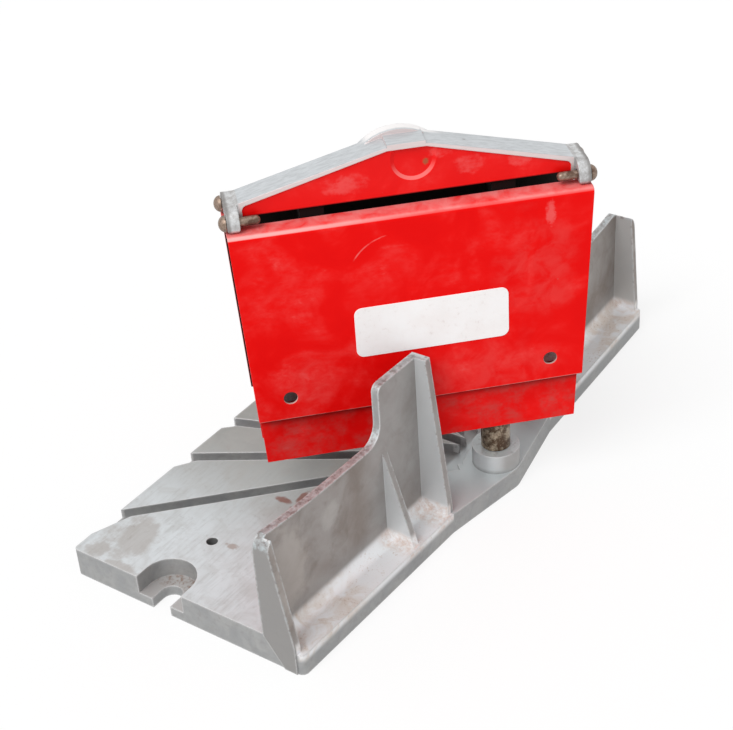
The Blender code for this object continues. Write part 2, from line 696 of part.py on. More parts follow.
def saw_case(finish_material, parent):
    section = case_section()
    bm = bmesh.new()
    rings = [[bm.verts.new((case_ends(z)[end], y, z)) for y, z in section] for end in (0, 1)]
    count = len(section)
    for i in range(count):
        j = (i + 1) % count
        bm.faces.new((rings[0][i], rings[0][j], rings[1][j], rings[1][i]))
    for ring in rings:
        for i in range(count // 2 - 1):
            bm.faces.new((ring[i], ring[i + 1], ring[count - 2 - i], ring[count - 1 - i]))
    case = from_bmesh("case", bm)
    half_slot = STEM_WIDTH / 2 + 2 * GAP
    slot = box("slot", (CASE_REAR + CASE_BRIDGE, -half_slot, CASE_TOP - OVERCUT),
               (CASE_FRONT - CASE_BRIDGE, half_slot, CASE_TOP + OVERCUT))
    front, rear = case_ends(CASE_BOTTOM)
    places = (front + CASE_TAPER - CASE_HOLE_FROM_END, rear - CASE_TAPER + CASE_HOLE_FROM_END)
    holes = [prism("hole", circle((x, CASE_HOLE_HEIGHT), CASE_HOLE_DIAMETER / 2, SMALL_SEGMENTS), "XZ",
                   -CASE_WIDTH, CASE_WIDTH) for x in places]
    finish(cut(case, [slot] + holes), "saw_case", finish_material, parent)


def slide_pad(side, centre, height):
    """Flat pad inside the case that slides on the outer face of a guard plate."""
    low, high = sorted((side * (GUARD_OUTER + GAP), side * (CASE_INNER - GAP)))
    half = PAD_LENGTH / 2
    bottom = CASE_BOTTOM + GAP
    top = CASE_BOTTOM + height
    return box("pad", (centre - half, low, bottom), (centre + half, high, top))


def screw_relief():
    """Cutter for the upright slot in the rear pad, which passes the heads of the saddle screws."""
    head = SADDLE_HEAD_DIAMETER / 2 + 2 * GAP
    bottom = saddle_screw_heights()[0] - head
    return box("relief", (-head, 0, bottom), (head, CASE_WIDTH, RISER_TOP + OVERCUT))


def slide_pads(finish_material, parent):
    rear = cut(slide_pad(1, 0, REAR_PAD_HEIGHT), [screw_relief()])
    finish(rear, "slide_pad_rear", finish_material, parent)
    for side, word in SIDES:
        pad = slide_pad(side, FRONT_PAD_CENTRE, PAD_HEIGHT)
        finish(pad, "slide_pad_front_" + word, finish_material, parent)


def friction_leaf(finish_material, parent):
    """Bowed spring strip between the case and the far guard riser, whose drag holds the head's height."""
    outer = -(CASE_INNER - GAP)
    crown = -(GUARD_OUTER + GAP)
    bottom = CASE_BOTTOM + GAP
    top = CASE_BOTTOM + REAR_PAD_HEIGHT
    half = (top - bottom) / 2
    bow = (crown - outer) - LEAF_THICKNESS
    steps = ARC_STEPS * 2
    face = []
    for step in range(steps + 1):
        share = 2 * step / steps - 1
        bulge = bow * math.cos(share * math.pi / 2)
        face.append((outer + LEAF_THICKNESS + bulge, bottom + half * (1 + share)))
    back = [(a - LEAF_THICKNESS, b) for a, b in reversed(face)]
    start = RISER_WIDTH / 2 - LEAF_WIDTH
    leaf = prism("leaf", face + back, "YZ", start, RISER_WIDTH / 2)
    finish(leaf, "friction_leaf", finish_material, parent)


# Pieces that saw to and fro along the case

def stem_places():
    """The two stems along the case, each a stroke away from its end of the slot in the case's top."""
    reach = CASE_LENGTH / 2 - CASE_BRIDGE - 2 * GAP - SAW_STROKE - STEM_LENGTH / 2
    return (CASE_MIDDLE - reach, CASE_MIDDLE + reach)


def blade_outline():
    """Side view of the blade: teeth along the front part, and a raised heel that clears the boss."""
    heel = TOOTH_TIP + HEEL_RISE
    outline = [(BLADE_REAR, BLADE_TOP), (BLADE_REAR, heel), (HEEL_END - HEEL_BLEND, heel)]
    count = int((BLADE_FRONT - HEEL_END) / TOOTH_PITCH)
    for tooth in range(count):
        x = HEEL_END + tooth * TOOTH_PITCH
        outline += [(x, TOOTH_TIP + TOOTH_DEPTH), (x + TOOTH_PITCH / 2, TOOTH_TIP)]
    outline += [(BLADE_FRONT, TOOTH_TIP + TOOTH_DEPTH), (BLADE_FRONT, BLADE_TOP)]
    return outline


def rivet_places():
    span = BLADE_FRONT - BLADE_REAR
    return [BLADE_REAR + span * (i + 0.5) / BLADE_RIVET_COUNT for i in range(BLADE_RIVET_COUNT)]


def rivet(x, height, half_length):
    """Plain cross rivet with flat ends."""
    outline = circle((x, height), RIVET_DIAMETER / 2, SMALL_SEGMENTS)
    return prism("rivet", outline, "XZ", -half_length, half_length)


def rivet_hole(x, height):
    outline = circle((x, height), RIVET_DIAMETER / 2 + GAP, SMALL_SEGMENTS)
    return prism("hole", outline, "XZ", -CASE_WIDTH, CASE_WIDTH)


def blade_rivet_height():
    return BACK_BOTTOM + BACK_GROOVE_DEPTH / 2


def stem_rivet_height():
    return BACK_TOP - (BACK_HEIGHT - BACK_GROOVE_DEPTH) / 2


def saw_blade(finish_material, parent):
    half = BLADE_THICKNESS / 2
    blade = prism("blade", blade_outline(), "XZ", -half, half)
    cut(blade, [rivet_hole(x, blade_rivet_height()) for x in rivet_places()])
    finish(blade, "saw_blade", finish_material, parent)


def blade_back(finish_material, parent):
    """Stiff bar along the top of the blade, grooved below to take it."""
    half = BACK_THICKNESS / 2
    bar = box("back", (BLADE_REAR, -half, BACK_BOTTOM), (BLADE_FRONT, half, BACK_TOP))
    slot = box("slot", (BLADE_REAR - OVERCUT, -SLOT_HALF_WIDTH, BACK_BOTTOM - OVERCUT),
               (BLADE_FRONT + OVERCUT, SLOT_HALF_WIDTH, BACK_BOTTOM + BACK_GROOVE_DEPTH))
    holes = [rivet_hole(x, blade_rivet_height()) for x in rivet_places()]
    holes += [rivet_hole(x, stem_rivet_height()) for x in stem_places()]
    finish(cut(bar, [slot] + holes), "blade_back", finish_material, parent)


def saw_rivets(finish_material, parent):
    for number, x in enumerate(rivet_places(), 1):
        piece = rivet(x, blade_rivet_height(), BACK_THICKNESS / 2)
        finish(piece, "blade_rivet_" + str(number), finish_material, parent)
    for x, word in zip(stem_places(), ("rear", "front")):
        piece = rivet(x, stem_rivet_height(), STEM_WIDTH / 2)
        finish(piece, "stem_rivet_" + word, finish_material, parent)


def handle_outline():
    """Side view of the grip: a low gable with a level block at its peak and rounded ends."""
    half = HANDLE_LENGTH / 2
    block = BLOCK_LENGTH / 2
    slope_top = HANDLE_PEAK - BLOCK_NOTCH
    corners = [
        (-half, HANDLE_BOTTOM, 0), (half, HANDLE_BOTTOM, 0),
        (half, HANDLE_END_TOP, HANDLE_NOSE_RADIUS / 2),
        (block + BLOCK_NOTCH, slope_top, 0), (block, slope_top, 0), (block, HANDLE_PEAK, 0),
        (-block, HANDLE_PEAK, 0), (-block, slope_top, 0), (-block - BLOCK_NOTCH, slope_top, 0),
        (-half, HANDLE_END_TOP, HANDLE_NOSE_RADIUS / 2),
    ]
    return [(CASE_MIDDLE + a, b) for a, b in rounded(corners)]


def panel_outline():
    """Side view of the shallow painted panel: inside the grip's top edge and ends, and open below."""
    half = HANDLE_LENGTH / 2 - PANEL_END
    block = BLOCK_LENGTH / 2
    slope_top = HANDLE_PEAK - BLOCK_NOTCH - PANEL_RIM
    end_top = HANDLE_END_TOP - PANEL_RIM
    corners = [
        (-half, HANDLE_BOTTOM - OVERCUT, 0), (half, HANDLE_BOTTOM - OVERCUT, 0),
        (half, end_top, PANEL_CORNER_RADIUS), (block, slope_top, 0),
        (-block, slope_top, 0), (-half, end_top, PANEL_CORNER_RADIUS),
    ]
    return [(CASE_MIDDLE + a, b) for a, b in rounded(corners)]


def side_panel(side, depth):
    """Cutter for the painted panel in one side of the grip."""
    half = HANDLE_THICKNESS / 2
    low, high = sorted((side * (half - depth), side * (half + OVERCUT)))
    return prism("panel", panel_outline(), "XZ", low, high)


def dish():
    """Cutter for the shallow round dish in the near panel, which the panel's rim closes at the top."""
    floor = PANEL_DEPTH + DISH_DEPTH
    profile = [(0, 0), (DISH_RADIUS, 0), (DISH_RADIUS + DISH_SLOPE, DISH_DEPTH), (0, DISH_DEPTH)]
    centre = (CASE_MIDDLE + DISH_OFFSET, HANDLE_THICKNESS / 2 - floor, HANDLE_PEAK - DISH_DROP)
    hollow = turned("dish", profile, ROUND_SEGMENTS, aimed(centre, (0, 1, 0)))
    return combine(hollow, [side_panel(1, HANDLE_THICKNESS)], "INTERSECT")


def thumb_rest():
    """Half-round rest on the far side of the grip, which stands a little above the level block."""
    radius = THUMB_REST_RADIUS
    centre = (CASE_MIDDLE + THUMB_REST_OFFSET, HANDLE_PEAK + THUMB_REST_RISE - radius)
    outline = arc(centre, radius, 0, 180, ROUND_SEGMENTS // 2)
    half = HANDLE_THICKNESS / 2
    return prism("rest", outline, "XZ", -half - THUMB_REST_RAISE, -half / 2)


def ear(end):
    """Arched cross plate at one end of the grip, with a round-toed lug over each shoulder of the case."""
    wide = EAR_HALF_WIDTH
    waist = HANDLE_THICKNESS / 2
    toe = EAR_TOE_RADIUS
    shoulder = EAR_SHOULDER_RADIUS
    outline = rounded([
        (-wide, EAR_BOTTOM, toe), (-PIN_OFFSET + PIN_DIAMETER, EAR_BOTTOM, toe / 2),
        (-waist / 2, HANDLE_BOTTOM, 0), (waist / 2, HANDLE_BOTTOM, 0),
        (PIN_OFFSET - PIN_DIAMETER, EAR_BOTTOM, toe / 2), (wide, EAR_BOTTOM, toe),
        (wide, HANDLE_END_TOP - GAP, shoulder), (-wide, HANDLE_END_TOP - GAP, shoulder),
    ])
    low, high = sorted(ear_span(end))
    plate = prism("ear", outline, "YZ", low, high)
    corners = [
        (low, EAR_BOTTOM, toe), (high, EAR_BOTTOM, toe),
        (high, HANDLE_PEAK, 0), (low, HANDLE_PEAK, 0),
    ]
    return combine(plate, [prism("toe", rounded(corners), "XZ", -CASE_WIDTH, CASE_WIDTH)], "INTERSECT")


def ear_span(end):
    """Inner and outer faces of the ears along the case."""
    inner = CASE_MIDDLE + end * (HANDLE_LENGTH / 2 - HANDLE_EDGE_RADIUS)
    return inner, inner + end * EAR_THICKNESS


def handle_casting(finish_material, parent):
    half = HANDLE_THICKNESS / 2
    grip = prism("handle", handle_outline(), "XZ", -half, half)
    stems = [box("stem", (x - STEM_LENGTH / 2, -STEM_WIDTH / 2, BACK_TOP - STEM_FORK_DEPTH),
                 (x + STEM_LENGTH / 2, STEM_WIDTH / 2, HANDLE_BOTTOM + HANDLE_EDGE_RADIUS))
             for x in stem_places()]
    cut(grip, [side_panel(1, PANEL_DEPTH), side_panel(-1, PANEL_DEPTH), dish()])
    join(grip, [thumb_rest()] + stems + [ear(-1), ear(1)])
    fork = box("fork", (BLADE_REAR, -BACK_THICKNESS / 2 - GAP, BACK_BOTTOM - OVERCUT),
               (BLADE_FRONT, BACK_THICKNESS / 2 + GAP, BACK_TOP + GAP))
    pin_radius = PIN_DIAMETER / 2 + GAP
    bores = [prism("bore", circle((side * PIN_OFFSET, PIN_HEIGHT), pin_radius, SMALL_SEGMENTS), "YZ",
                   BLADE_REAR - CASE_LENGTH, BLADE_FRONT + CASE_LENGTH) for side in (-1, 1)]
    holes = [rivet_hole(x, stem_rivet_height()) for x in stem_places()]
    finish(cut(grip, [fork] + bores + holes), "handle_casting", finish_material, parent)


def runner_pin(end, side, name, finish_material, parent):
    """Round-nosed pin through one ear, with a domed head on the outside."""
    inner, outer = ear_span(end)
    radius = PIN_DIAMETER / 2
    head = PIN_HEAD_DIAMETER / 2
    length = EAR_THICKNESS + PIN_REACH
    nose = arc((0, length - radius), radius, 90, 0)[1:]
    dome = [(head * a, -GAP + b * PIN_HEAD_HEIGHT) for a, b in arc((0, 0), 1, 0, -90)[:-1]]
    profile = [(0, length)] + nose + [(radius, -GAP)] + dome + [(0, -GAP - PIN_HEAD_HEIGHT)]
    place = aimed((outer, side * PIN_OFFSET, PIN_HEIGHT), (-end, 0, 0))
    pin = turned("pin", profile, SMALL_SEGMENTS, place)
    finish(pin, name, finish_material, parent)


def build():
    for old in list(bpy.data.objects):
        bpy.data.objects.remove(old)
    aluminium = material("cast_aluminium", (0.46, 0.45, 0.43), 0.5, 0.9)
    steel = material("steel", (0.5, 0.47, 0.42), 0.4, 1.0)
    blade_steel = material("blade_steel", (0.6, 0.6, 0.6), 0.3, 1.0)
    red = material("red_enamel", (0.75, 0.01, 0.015), 0.3, 0.0)
    fibre = material("slide_fibre", (0.12, 0.07, 0.04), 0.6, 0.0)

    base_casting(aluminium)

    swivel = empty("swivel_axis")
    swivel.location = (0, PIVOT_Y, 0)
    swivel.rotation_euler = (0, 0, REST_ANGLE - math.pi / 2)
    pivot_post(steel, swivel)
    retainers(steel, swivel)
    saddle_screws(steel, swivel)
    for side, word in SIDES:
        guard_plate(side, "guard_plate_" + word, red, swivel)
        saddle(side, "post_saddle_" + word, steel, swivel)
        blade_guide(side, "blade_guide_" + word, fibre, swivel)

    head = empty("head_slide", swivel)
    saw_case(red, head)
    slide_pads(fibre, head)
    friction_leaf(steel, head)

    saw = empty("saw_slide", head)
    saw_blade(blade_steel, saw)
    blade_back(blade_steel, saw)
    saw_rivets(steel, saw)
    handle_casting(aluminium, saw)
    for end, end_word in ENDS:
        for side, side_word in SIDES:
            runner_pin(end, side, "runner_pin_" + end_word + "_" + side_word, steel, saw)


build()
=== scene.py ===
"""Looks of the mitre box saw: finishes, a bare label, the studio and the camera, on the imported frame."""
import json
import math

import bmesh
import bpy
from mathutils import Matrix, Vector


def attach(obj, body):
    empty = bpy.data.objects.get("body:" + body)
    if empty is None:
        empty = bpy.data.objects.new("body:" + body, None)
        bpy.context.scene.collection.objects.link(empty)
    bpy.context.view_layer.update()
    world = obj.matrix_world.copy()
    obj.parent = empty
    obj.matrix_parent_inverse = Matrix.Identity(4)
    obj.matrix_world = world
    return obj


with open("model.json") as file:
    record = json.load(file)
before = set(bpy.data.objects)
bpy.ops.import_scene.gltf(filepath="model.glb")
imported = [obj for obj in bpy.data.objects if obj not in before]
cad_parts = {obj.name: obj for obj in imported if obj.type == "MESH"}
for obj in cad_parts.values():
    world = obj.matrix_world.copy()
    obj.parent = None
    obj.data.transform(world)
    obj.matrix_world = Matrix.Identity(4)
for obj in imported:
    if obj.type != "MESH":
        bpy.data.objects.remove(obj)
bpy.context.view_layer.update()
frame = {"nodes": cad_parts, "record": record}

MM = 0.001

# Head frame: it stands on the pivot, +X along the blade to the front, +Y out of the near side
JOINTS = {joint["name"]: joint for joint in frame["record"]["behaviour"]["joints"]}
PIVOT = Vector(JOINTS["head_swivel"]["pos_m"])
HEAD_TURN = math.radians(-45)
HEAD = Matrix.Translation(PIVOT) @ Matrix.Rotation(HEAD_TURN, 4, "Z")
ACROSS = HEAD.to_3x3().col[1]

# Camera, from the fit to the photo's straight edges
CAMERA_PLACE = Vector((0.49917, 0.36242, 0.45232))
CAMERA_AZIMUTH = math.radians(36.767)
CAMERA_ELEVATION = math.radians(33.486)
CAMERA_ROLL = math.radians(-4.149)
CAMERA_LENS = 77.152
SENSOR_WIDTH = 36
CLIP_START = 0.01

# Lines of the base that its finish follows
BED_TOP = 14.2 * MM
LEDGE_TOP = 10.4 * MM
SLOT_FLOOR = 5 * MM
FENCE_FRONT = 45.25 * MM
FENCE_BACK = 48.85 * MM
BEND = 44 * MM
SPLAY_SLOPE = 4.2 / 108
MID_RIB = 70 * MM
GAP_RIB = 44 * MM
BASE_END = 152 * MM

# Lines of the case and of the handle, in the head frame
CASE_HALF_WIDTH = 15 * MM
CASE_SHEET = 1.2 * MM
CASE_MIDDLE = 35.8 * MM
CASE_TOP = 152.8 * MM
CASE_BOTTOM = 62 * MM
HOLE_PLACES = ((93, 72.6), (-21.4, 72.6))
HANDLE_BOTTOM = 157.2 * MM
HANDLE_HALF_WIDTH = 6.4 * MM
PANEL_FACE = 5.9 * MM
PANEL_TOP = 177.5 * MM
DISH_FLOOR = 5 * MM
DISH_CENTRE = Vector((33.2, 5.9, 172.4)) * MM
DISH_REACH = 9.5 * MM
EAR_START = 69.6 * MM
SCRATCH_CENTRE = Vector((44, 15, 124)) * MM
SCRATCH_RADIUS = 20.8 * MM

# How far a face of the near panel may lie off its plane, and how far the new face's area from the old one's
LEVEL_SLACK = 0.05 * MM
AREA_SLACK = 0.01

# Patches: middle and reach in millimetres, how ragged the rim is and the size of its rags in millimetres
BOSS = ((0, 60.25, 16), (13.5, 13.5, 90), 0.0)
BED_HOLE = ((116.5, -14.35, 9), (3.4, 3.4, 60), 0.0)
BROWN_STAINS = (
    ((130, -47, 14), (16, 18, 9), 1.2, 11),
    ((146, -55, 14), (7, 8, 9), 0.8, 5),
    ((150, -40, 14), (4, 14, 9), 0.8, 5),
)
RUST_MARKS = (
    ((77.5, -4.5, 14), (2.6, 5.5, 9), 0.5, 2.5),
    ((71.5, 1.4, 14), (5.8, 1.9, 9), 0.5, 2.5),
    ((80, 3, 14), (2.4, 2.4, 9), 0.7, 2),
)
RUST_SPOT = ((114.5, -4.7, 14), (2.2, 3.4, 9), 1.0, 1.5)
FENCE_SMEAR = ((108, 47, 48), (7, 9, 8), 0.6, 8)
FENCE_PALE_END = ((140, 46, 38), (20, 20, 30), 0.6, 9)

# Patches of the case and the handle, in the head frame
DULL_PATCHES = (
    ((-16, 15, 118), (22, 30, 30), 0.7, 14),
    ((10, 15, 72), (45, 30, 15), 0.6, 14),
    ((84, 15, 80), (16, 30, 16), 0.6, 12),
)
CASE_SMEAR = ((-21.4, 15, 144), (2.6, 30, 6.5), 0.8, 3)
HANDLE_SCUFFS = (
    ((10, 6, 166.5), (8, 20, 5), 0.8, 4),
    ((22, 6, 174), (5, 20, 3), 0.8, 3),
    ((-11, 6, 166), (6, 20, 3.5), 0.8, 3),
    ((62, 6, 165), (12, 20, 5), 0.8, 5),
)
HANDLE_CHIP = ((28.1, 6, 170.3), (1.5, 20, 1.9), 0.9, 1)

# The bare label on the near side of the case, in the head frame
LABEL_START = -3 * MM
LABEL_END = 63.2 * MM
LABEL_BOTTOM = 88 * MM
LABEL_TOP = 112.1 * MM
LABEL_CORNER = 3.4 * MM
LABEL_THICKNESS = 0.25 * MM

# Edges that turn by more than this are rounded, or kept sharp where no rounding fits
EDGE_ANGLE = math.radians(25)
CASE_EDGE = 0.3 * MM
GUARD_EDGE = 0.15 * MM
JOIN_REACH = 0.004 * MM

# Edges of the castings are worn round in the material alone
WORN_EDGE = 0.5 * MM
WORN_EDGE_SAMPLES = 4
CORNER_SAMPLES = 6

# Light: the soft value lights the object, the seen value is what a camera or a mirror sees
SKY_SOFT, SKY_SEEN = 0.6, 1.0
FLOOR_SOFT, FLOOR_SEEN = 0.72, 0.22
FLOOR_GLOW = 0.77
FLOOR_HALF = 12
KEY_STRENGTH = 1.9
KEY_SPREAD = math.radians(38)
KEY_TOWARDS = Vector((0.62, 0.0, 0.78))


class Finish:
    """A new material whose nodes are added by short calls, each giving back an output to build on."""

    def __init__(self, name, metallic=0.0, specular=0.5):
        self.material = bpy.data.materials.new(name)
        self.material.use_nodes = True
        self.tree = self.material.node_tree
        self.shader = self.tree.nodes["Principled BSDF"]
        self.shader.inputs["Metallic"].default_value = metallic
        self.shader.inputs["Specular IOR Level"].default_value = specular
        self.place = self.add("ShaderNodeTexCoord").outputs["Object"]
        geometry = self.add("ShaderNodeNewGeometry")
        self.normal = self.split(geometry.outputs["Normal"])

    def add(self, kind, settings=None, inputs=None):
        """A node of this kind with its settings, and its inputs set or linked."""
        node = self.tree.nodes.new(kind)
        for name, value in (settings or {}).items():
            setattr(node, name, value)
        for name, value in (inputs or {}).items():
            self.feed(node.inputs[name], value)
        return node

    def feed(self, socket, value):
        """Set a socket to a value, or link an output to it."""
        if isinstance(value, bpy.types.NodeSocket):
            self.tree.links.new(value, socket)
        else:
            socket.default_value = value

    def in_head_frame(self):
        """The place on the surface in the head frame: x along the case, y across it, z up."""
        settings = {"vector_type": "POINT"}
        inputs = {"Vector": self.place, "Location": HEAD.inverted().to_translation(),
                  "Rotation": (0, 0, -HEAD_TURN)}
        return self.add("ShaderNodeMapping", settings, inputs).outputs["Vector"]

    def split(self, vector):
        """The three axes of a vector."""
        return self.add("ShaderNodeSeparateXYZ", {}, {"Vector": vector}).outputs

    def scaled(self, vector, scale):
        """A vector stretched by an own factor along each axis."""
        return self.pair("MULTIPLY", vector, scale).outputs["Vector"]

    def pair(self, operation, first, second):
        """One sum of two vectors."""
        node = self.add("ShaderNodeVectorMath", {"operation": operation})
        self.feed(node.inputs[0], first)
        self.feed(node.inputs[1], second)
        return node

    def noise(self, size, detail=4, rough=0.6, vector=None, twist=0.0):
        """Cloudy noise with patches of about this size, from 0 to 1."""
        inputs = {"Vector": vector or self.place, "Scale": 1 / size, "Detail": detail, "Roughness": rough,
                  "Distortion": twist}
        return self.add("ShaderNodeTexNoise", {}, inputs).outputs[0]

    def cells(self, size, vector=None):
        """Distance to the nearest of scattered points about this far apart, in units of that size."""
        inputs = {"Vector": vector or self.place, "Scale": 1 / size}
        return self.add("ShaderNodeTexVoronoi", {}, inputs).outputs["Distance"]

    def rise(self, value, low, high):
        """A smooth step that is 0 below low and 1 above high, or the other way round where high is lower."""
        settings = {"interpolation_type": "SMOOTHSTEP"}
        inputs = {"Value": value, "From Min": low, "From Max": high}
        if high < low:
            inputs.update({"From Min": high, "From Max": low, "To Min": 1.0, "To Max": 0.0})
        return self.add("ShaderNodeMapRange", settings, inputs).outputs["Result"]

    def spread(self, value, low, high):
        """A value from 0 to 1 spread evenly from low to high."""
        inputs = {"Value": value, "To Min": low, "To Max": high}
        return self.add("ShaderNodeMapRange", {}, inputs).outputs["Result"]

    def maths(self, operation, first, second=0.0):
        """One sum of two values or outputs."""
        node = self.add("ShaderNodeMath", {"operation": operation})
        self.feed(node.inputs[0], first)
        self.feed(node.inputs[1], second)
        return node.outputs["Value"]

    def both(self, *masks):
        """Where all masks hold."""
        result = masks[0]
        for mask in masks[1:]:
            result = self.maths("MULTIPLY", result, mask)
        return result

    def either(self, *masks):
        """Where any mask holds."""
        result = masks[0]
        for mask in masks[1:]:
            result = self.maths("MAXIMUM", result, mask)
        return result

    def without(self, mask):
        """Where a mask doesn't hold."""
        return self.maths("SUBTRACT", 1.0, mask)

    def band(self, value, low, high, soft):
        """Where a value lies between low and high, with soft sides."""
        return self.both(self.rise(value, low - soft, low), self.rise(value, high + soft, high))

    def patch(self, vector, centre, radii, ragged, rag_size=6):
        """A soft patch about a point, all in millimetres, its rim broken up by noise."""
        offset = self.pair("SUBTRACT", vector, Vector(centre) * MM).outputs["Vector"]
        shares = self.scaled(offset, [1 / (radius * MM) for radius in radii])
        length = self.add("ShaderNodeVectorMath", {"operation": "LENGTH"}, {"Vector": shares})
        rag = self.spread(self.noise(rag_size * MM, 4, 0.6, vector), -ragged, ragged)
        return self.rise(self.maths("ADD", length.outputs["Value"], rag), 1.0, 0.45)

    def patches(self, vector, marks):
        """Where any of these patches lies."""
        return self.either(*(self.patch(vector, *mark) for mark in marks))

    def over(self, share, below, above, strength=1.0):
        """One colour laid over another by a mask."""
        if strength != 1.0:
            share = self.maths("MULTIPLY", share, strength)
        node = self.add("ShaderNodeMix", {"data_type": "RGBA"})
        self.feed(node.inputs["Factor"], share)
        self.feed(node.inputs[6], below)
        self.feed(node.inputs[7], above)
        return node.outputs[2]

    def corners(self, reach, inside):
        """How far a point lies in a hollow corner, or on an outer edge with inside."""
        settings = {"samples": CORNER_SAMPLES, "inside": inside, "only_local": True}
        node = self.add("ShaderNodeAmbientOcclusion", settings, {"Distance": reach})
        return self.without(node.outputs["AO"])

    def bump(self, height, strength, distance, edge=0.0):
        """Relief of the surface, where a height of 1 stands this distance proud, and edges worn round."""
        inputs = {"Height": height, "Strength": strength, "Distance": distance}
        if edge:
            worn = self.add("ShaderNodeBevel", {"samples": WORN_EDGE_SAMPLES}, {"Radius": edge})
            inputs["Normal"] = worn.outputs["Normal"]
        node = self.add("ShaderNodeBump", {}, inputs)
        self.tree.links.new(node.outputs["Normal"], self.shader.inputs["Normal"])

    def finish(self, colour, roughness):
        """Link the colour and the roughness to the shader, and give the material."""
        self.feed(self.shader.inputs["Base Color"], colour)
        self.feed(self.shader.inputs["Roughness"], roughness)
        return self.material


def rgb(red, green, blue):
    """A colour for a node's socket, as linear light."""
    return (red, green, blue, 1.0)


class BaseFinish(Finish):
    """The base's material, with the places and the noises that its layers share."""

    def __init__(self):
        super().__init__("cast_aluminium", metallic=0.4, specular=0.4)
        self.x, y, self.z = self.split(self.place)
        self.outward = self.maths("ABSOLUTE", self.x)
        past_bend = self.maths("MAXIMUM", self.maths("SUBTRACT", self.outward, BEND), 0.0)
        self.depth = self.maths("ADD", y, self.maths("MULTIPLY", past_bend, SPLAY_SLOPE))
        self.face_up = self.rise(self.normal["Z"], 0.55, 0.9)
        self.upright = self.rise(self.maths("ABSOLUTE", self.normal["Z"]), 0.6, 0.3)
        self.behind = self.rise(self.depth, FENCE_BACK - 0.5 * MM, FENCE_BACK - 0.1 * MM)
        self.cloud = self.noise(26 * MM, 4, 0.55, twist=0.4)
        self.smoke = self.noise(11 * MM, 5, 0.6, twist=0.8)
        self.mottle = self.noise(2.6 * MM, 5, 0.68)

    def plain(self):
        """Grey as-cast metal, darker where it is mottled."""
        colour = self.over(self.rise(self.smoke, 0.3, 0.7), rgb(0.31, 0.315, 0.32), rgb(0.39, 0.39, 0.385))
        return self.over(self.rise(self.mottle, 0.45, 0.75), colour, rgb(0.26, 0.25, 0.24), 0.5)

    def bed(self, colour):
        """The bed: darker towards the case in a painted shade, brushed along its length, with brown and rusty
        stains.
        """
        brushed = self.noise(1.5 * MM, 4, 0.6, self.scaled(self.place, (0.12, 1, 1)))
        # Painted shade: the bed darkens towards the case, where the case's shade falls
        bed = self.over(self.rise(self.x, 40 * MM, 128 * MM), rgb(0.31, 0.31, 0.295), rgb(0.66, 0.69, 0.71))
        bed = self.over(self.rise(self.smoke, 0.35, 0.75), bed, rgb(0.43, 0.42, 0.4), 0.4)
        bed = self.over(self.rise(brushed, 0.45, 0.75), bed, rgb(0.34, 0.33, 0.32), 0.3)
        bed = self.over(self.rise(self.mottle, 0.55, 0.78), bed, rgb(0.3, 0.27, 0.25), 0.35)
        clouded = self.both(self.rise(self.cloud, 0.56, 0.7), 0.5)
        brown = self.either(self.patches(self.place, BROWN_STAINS), clouded)
        bed = self.over(brown, bed, rgb(0.33, 0.28, 0.245), 0.5)
        bed = self.over(self.patches(self.place, RUST_MARKS), bed, rgb(0.23, 0.085, 0.06), 0.85)
        bed = self.over(self.patch(self.place, *RUST_SPOT), bed, rgb(0.3, 0.19, 0.14), 0.55)
        level = self.band(self.z, BED_TOP - 0.7 * MM, BED_TOP + 0.5 * MM, 0.3 * MM)
        return self.over(self.both(self.face_up, level), colour, bed)

    def fence(self, colour):
        """The fence's back: brown clouds, a pale smear, and cleaner by the ribs and the foot."""
        wall = self.over(self.rise(self.cloud, 0.3, 0.68), rgb(0.36, 0.335, 0.32), rgb(0.25, 0.213, 0.19))
        wall = self.over(self.rise(self.smoke, 0.42, 0.75), wall, rgb(0.2, 0.165, 0.14), 0.5)
        wall = self.over(self.rise(self.mottle, 0.5, 0.75), wall, rgb(0.45, 0.42, 0.4), 0.15)
        wall = self.over(self.patch(self.place, *FENCE_SMEAR), wall, rgb(0.5, 0.48, 0.46), 0.5)
        wall = self.over(self.patch(self.place, *FENCE_PALE_END), wall, rgb(0.5, 0.46, 0.43), 0.6)
        clean = self.either(self.rise(self.outward, 92 * MM, 74 * MM), self.rise(self.z, 26 * MM, 15 * MM))
        wall = self.over(clean, wall, rgb(0.37, 0.37, 0.37), 0.4)
        on_wall = self.both(self.behind, self.rise(self.normal["Y"], 0.3, 0.8),
                            self.rise(self.z, LEDGE_TOP, 15 * MM))
        return self.over(on_wall, colour, wall)

    def face_tones_and_painted_light(self, colour):
        """Painted light on the rib sides and the far flange turned to the light, painted shade on the base's
        ends, and the boss and the gap floor each at its own tone.
        """
        # Painted light: faces turned to the key light are painted paler on the ribs and the far flange
        near_end = self.both(self.behind, self.rise(self.normal["X"], 0.5, 0.9))
        rib_side = self.both(near_end, self.rise(self.z, LEDGE_TOP, 13 * MM),
                             self.rise(self.outward, 100 * MM, 90 * MM))
        colour = self.over(rib_side, colour, rgb(0.68, 0.7, 0.71), 0.8)
        far_flange = self.both(near_end, self.rise(self.x, -100 * MM, -110 * MM))
        colour = self.over(far_flange, colour, rgb(0.56, 0.57, 0.56), 0.8)
        # Painted shade on the base's upright ends
        end_side = self.both(self.rise(self.outward, BASE_END - 0.6 * MM, BASE_END - 0.3 * MM), self.upright)
        colour = self.over(end_side, colour, rgb(0.28, 0.27, 0.262), 0.85)
        boss = self.both(self.patch(self.place, *BOSS),
                         self.rise(self.z, LEDGE_TOP + 0.2 * MM, LEDGE_TOP + 1.1 * MM))
        colour = self.over(boss, colour, rgb(0.46, 0.475, 0.48), 0.85)
        in_gap = self.both(self.face_up, self.rise(self.outward, GAP_RIB + 1 * MM, GAP_RIB - 1 * MM),
                           self.rise(self.depth, FENCE_FRONT - 4 * MM, FENCE_FRONT - 2 * MM))
        return self.over(in_gap, colour, rgb(0.6, 0.65, 0.66), 0.75)

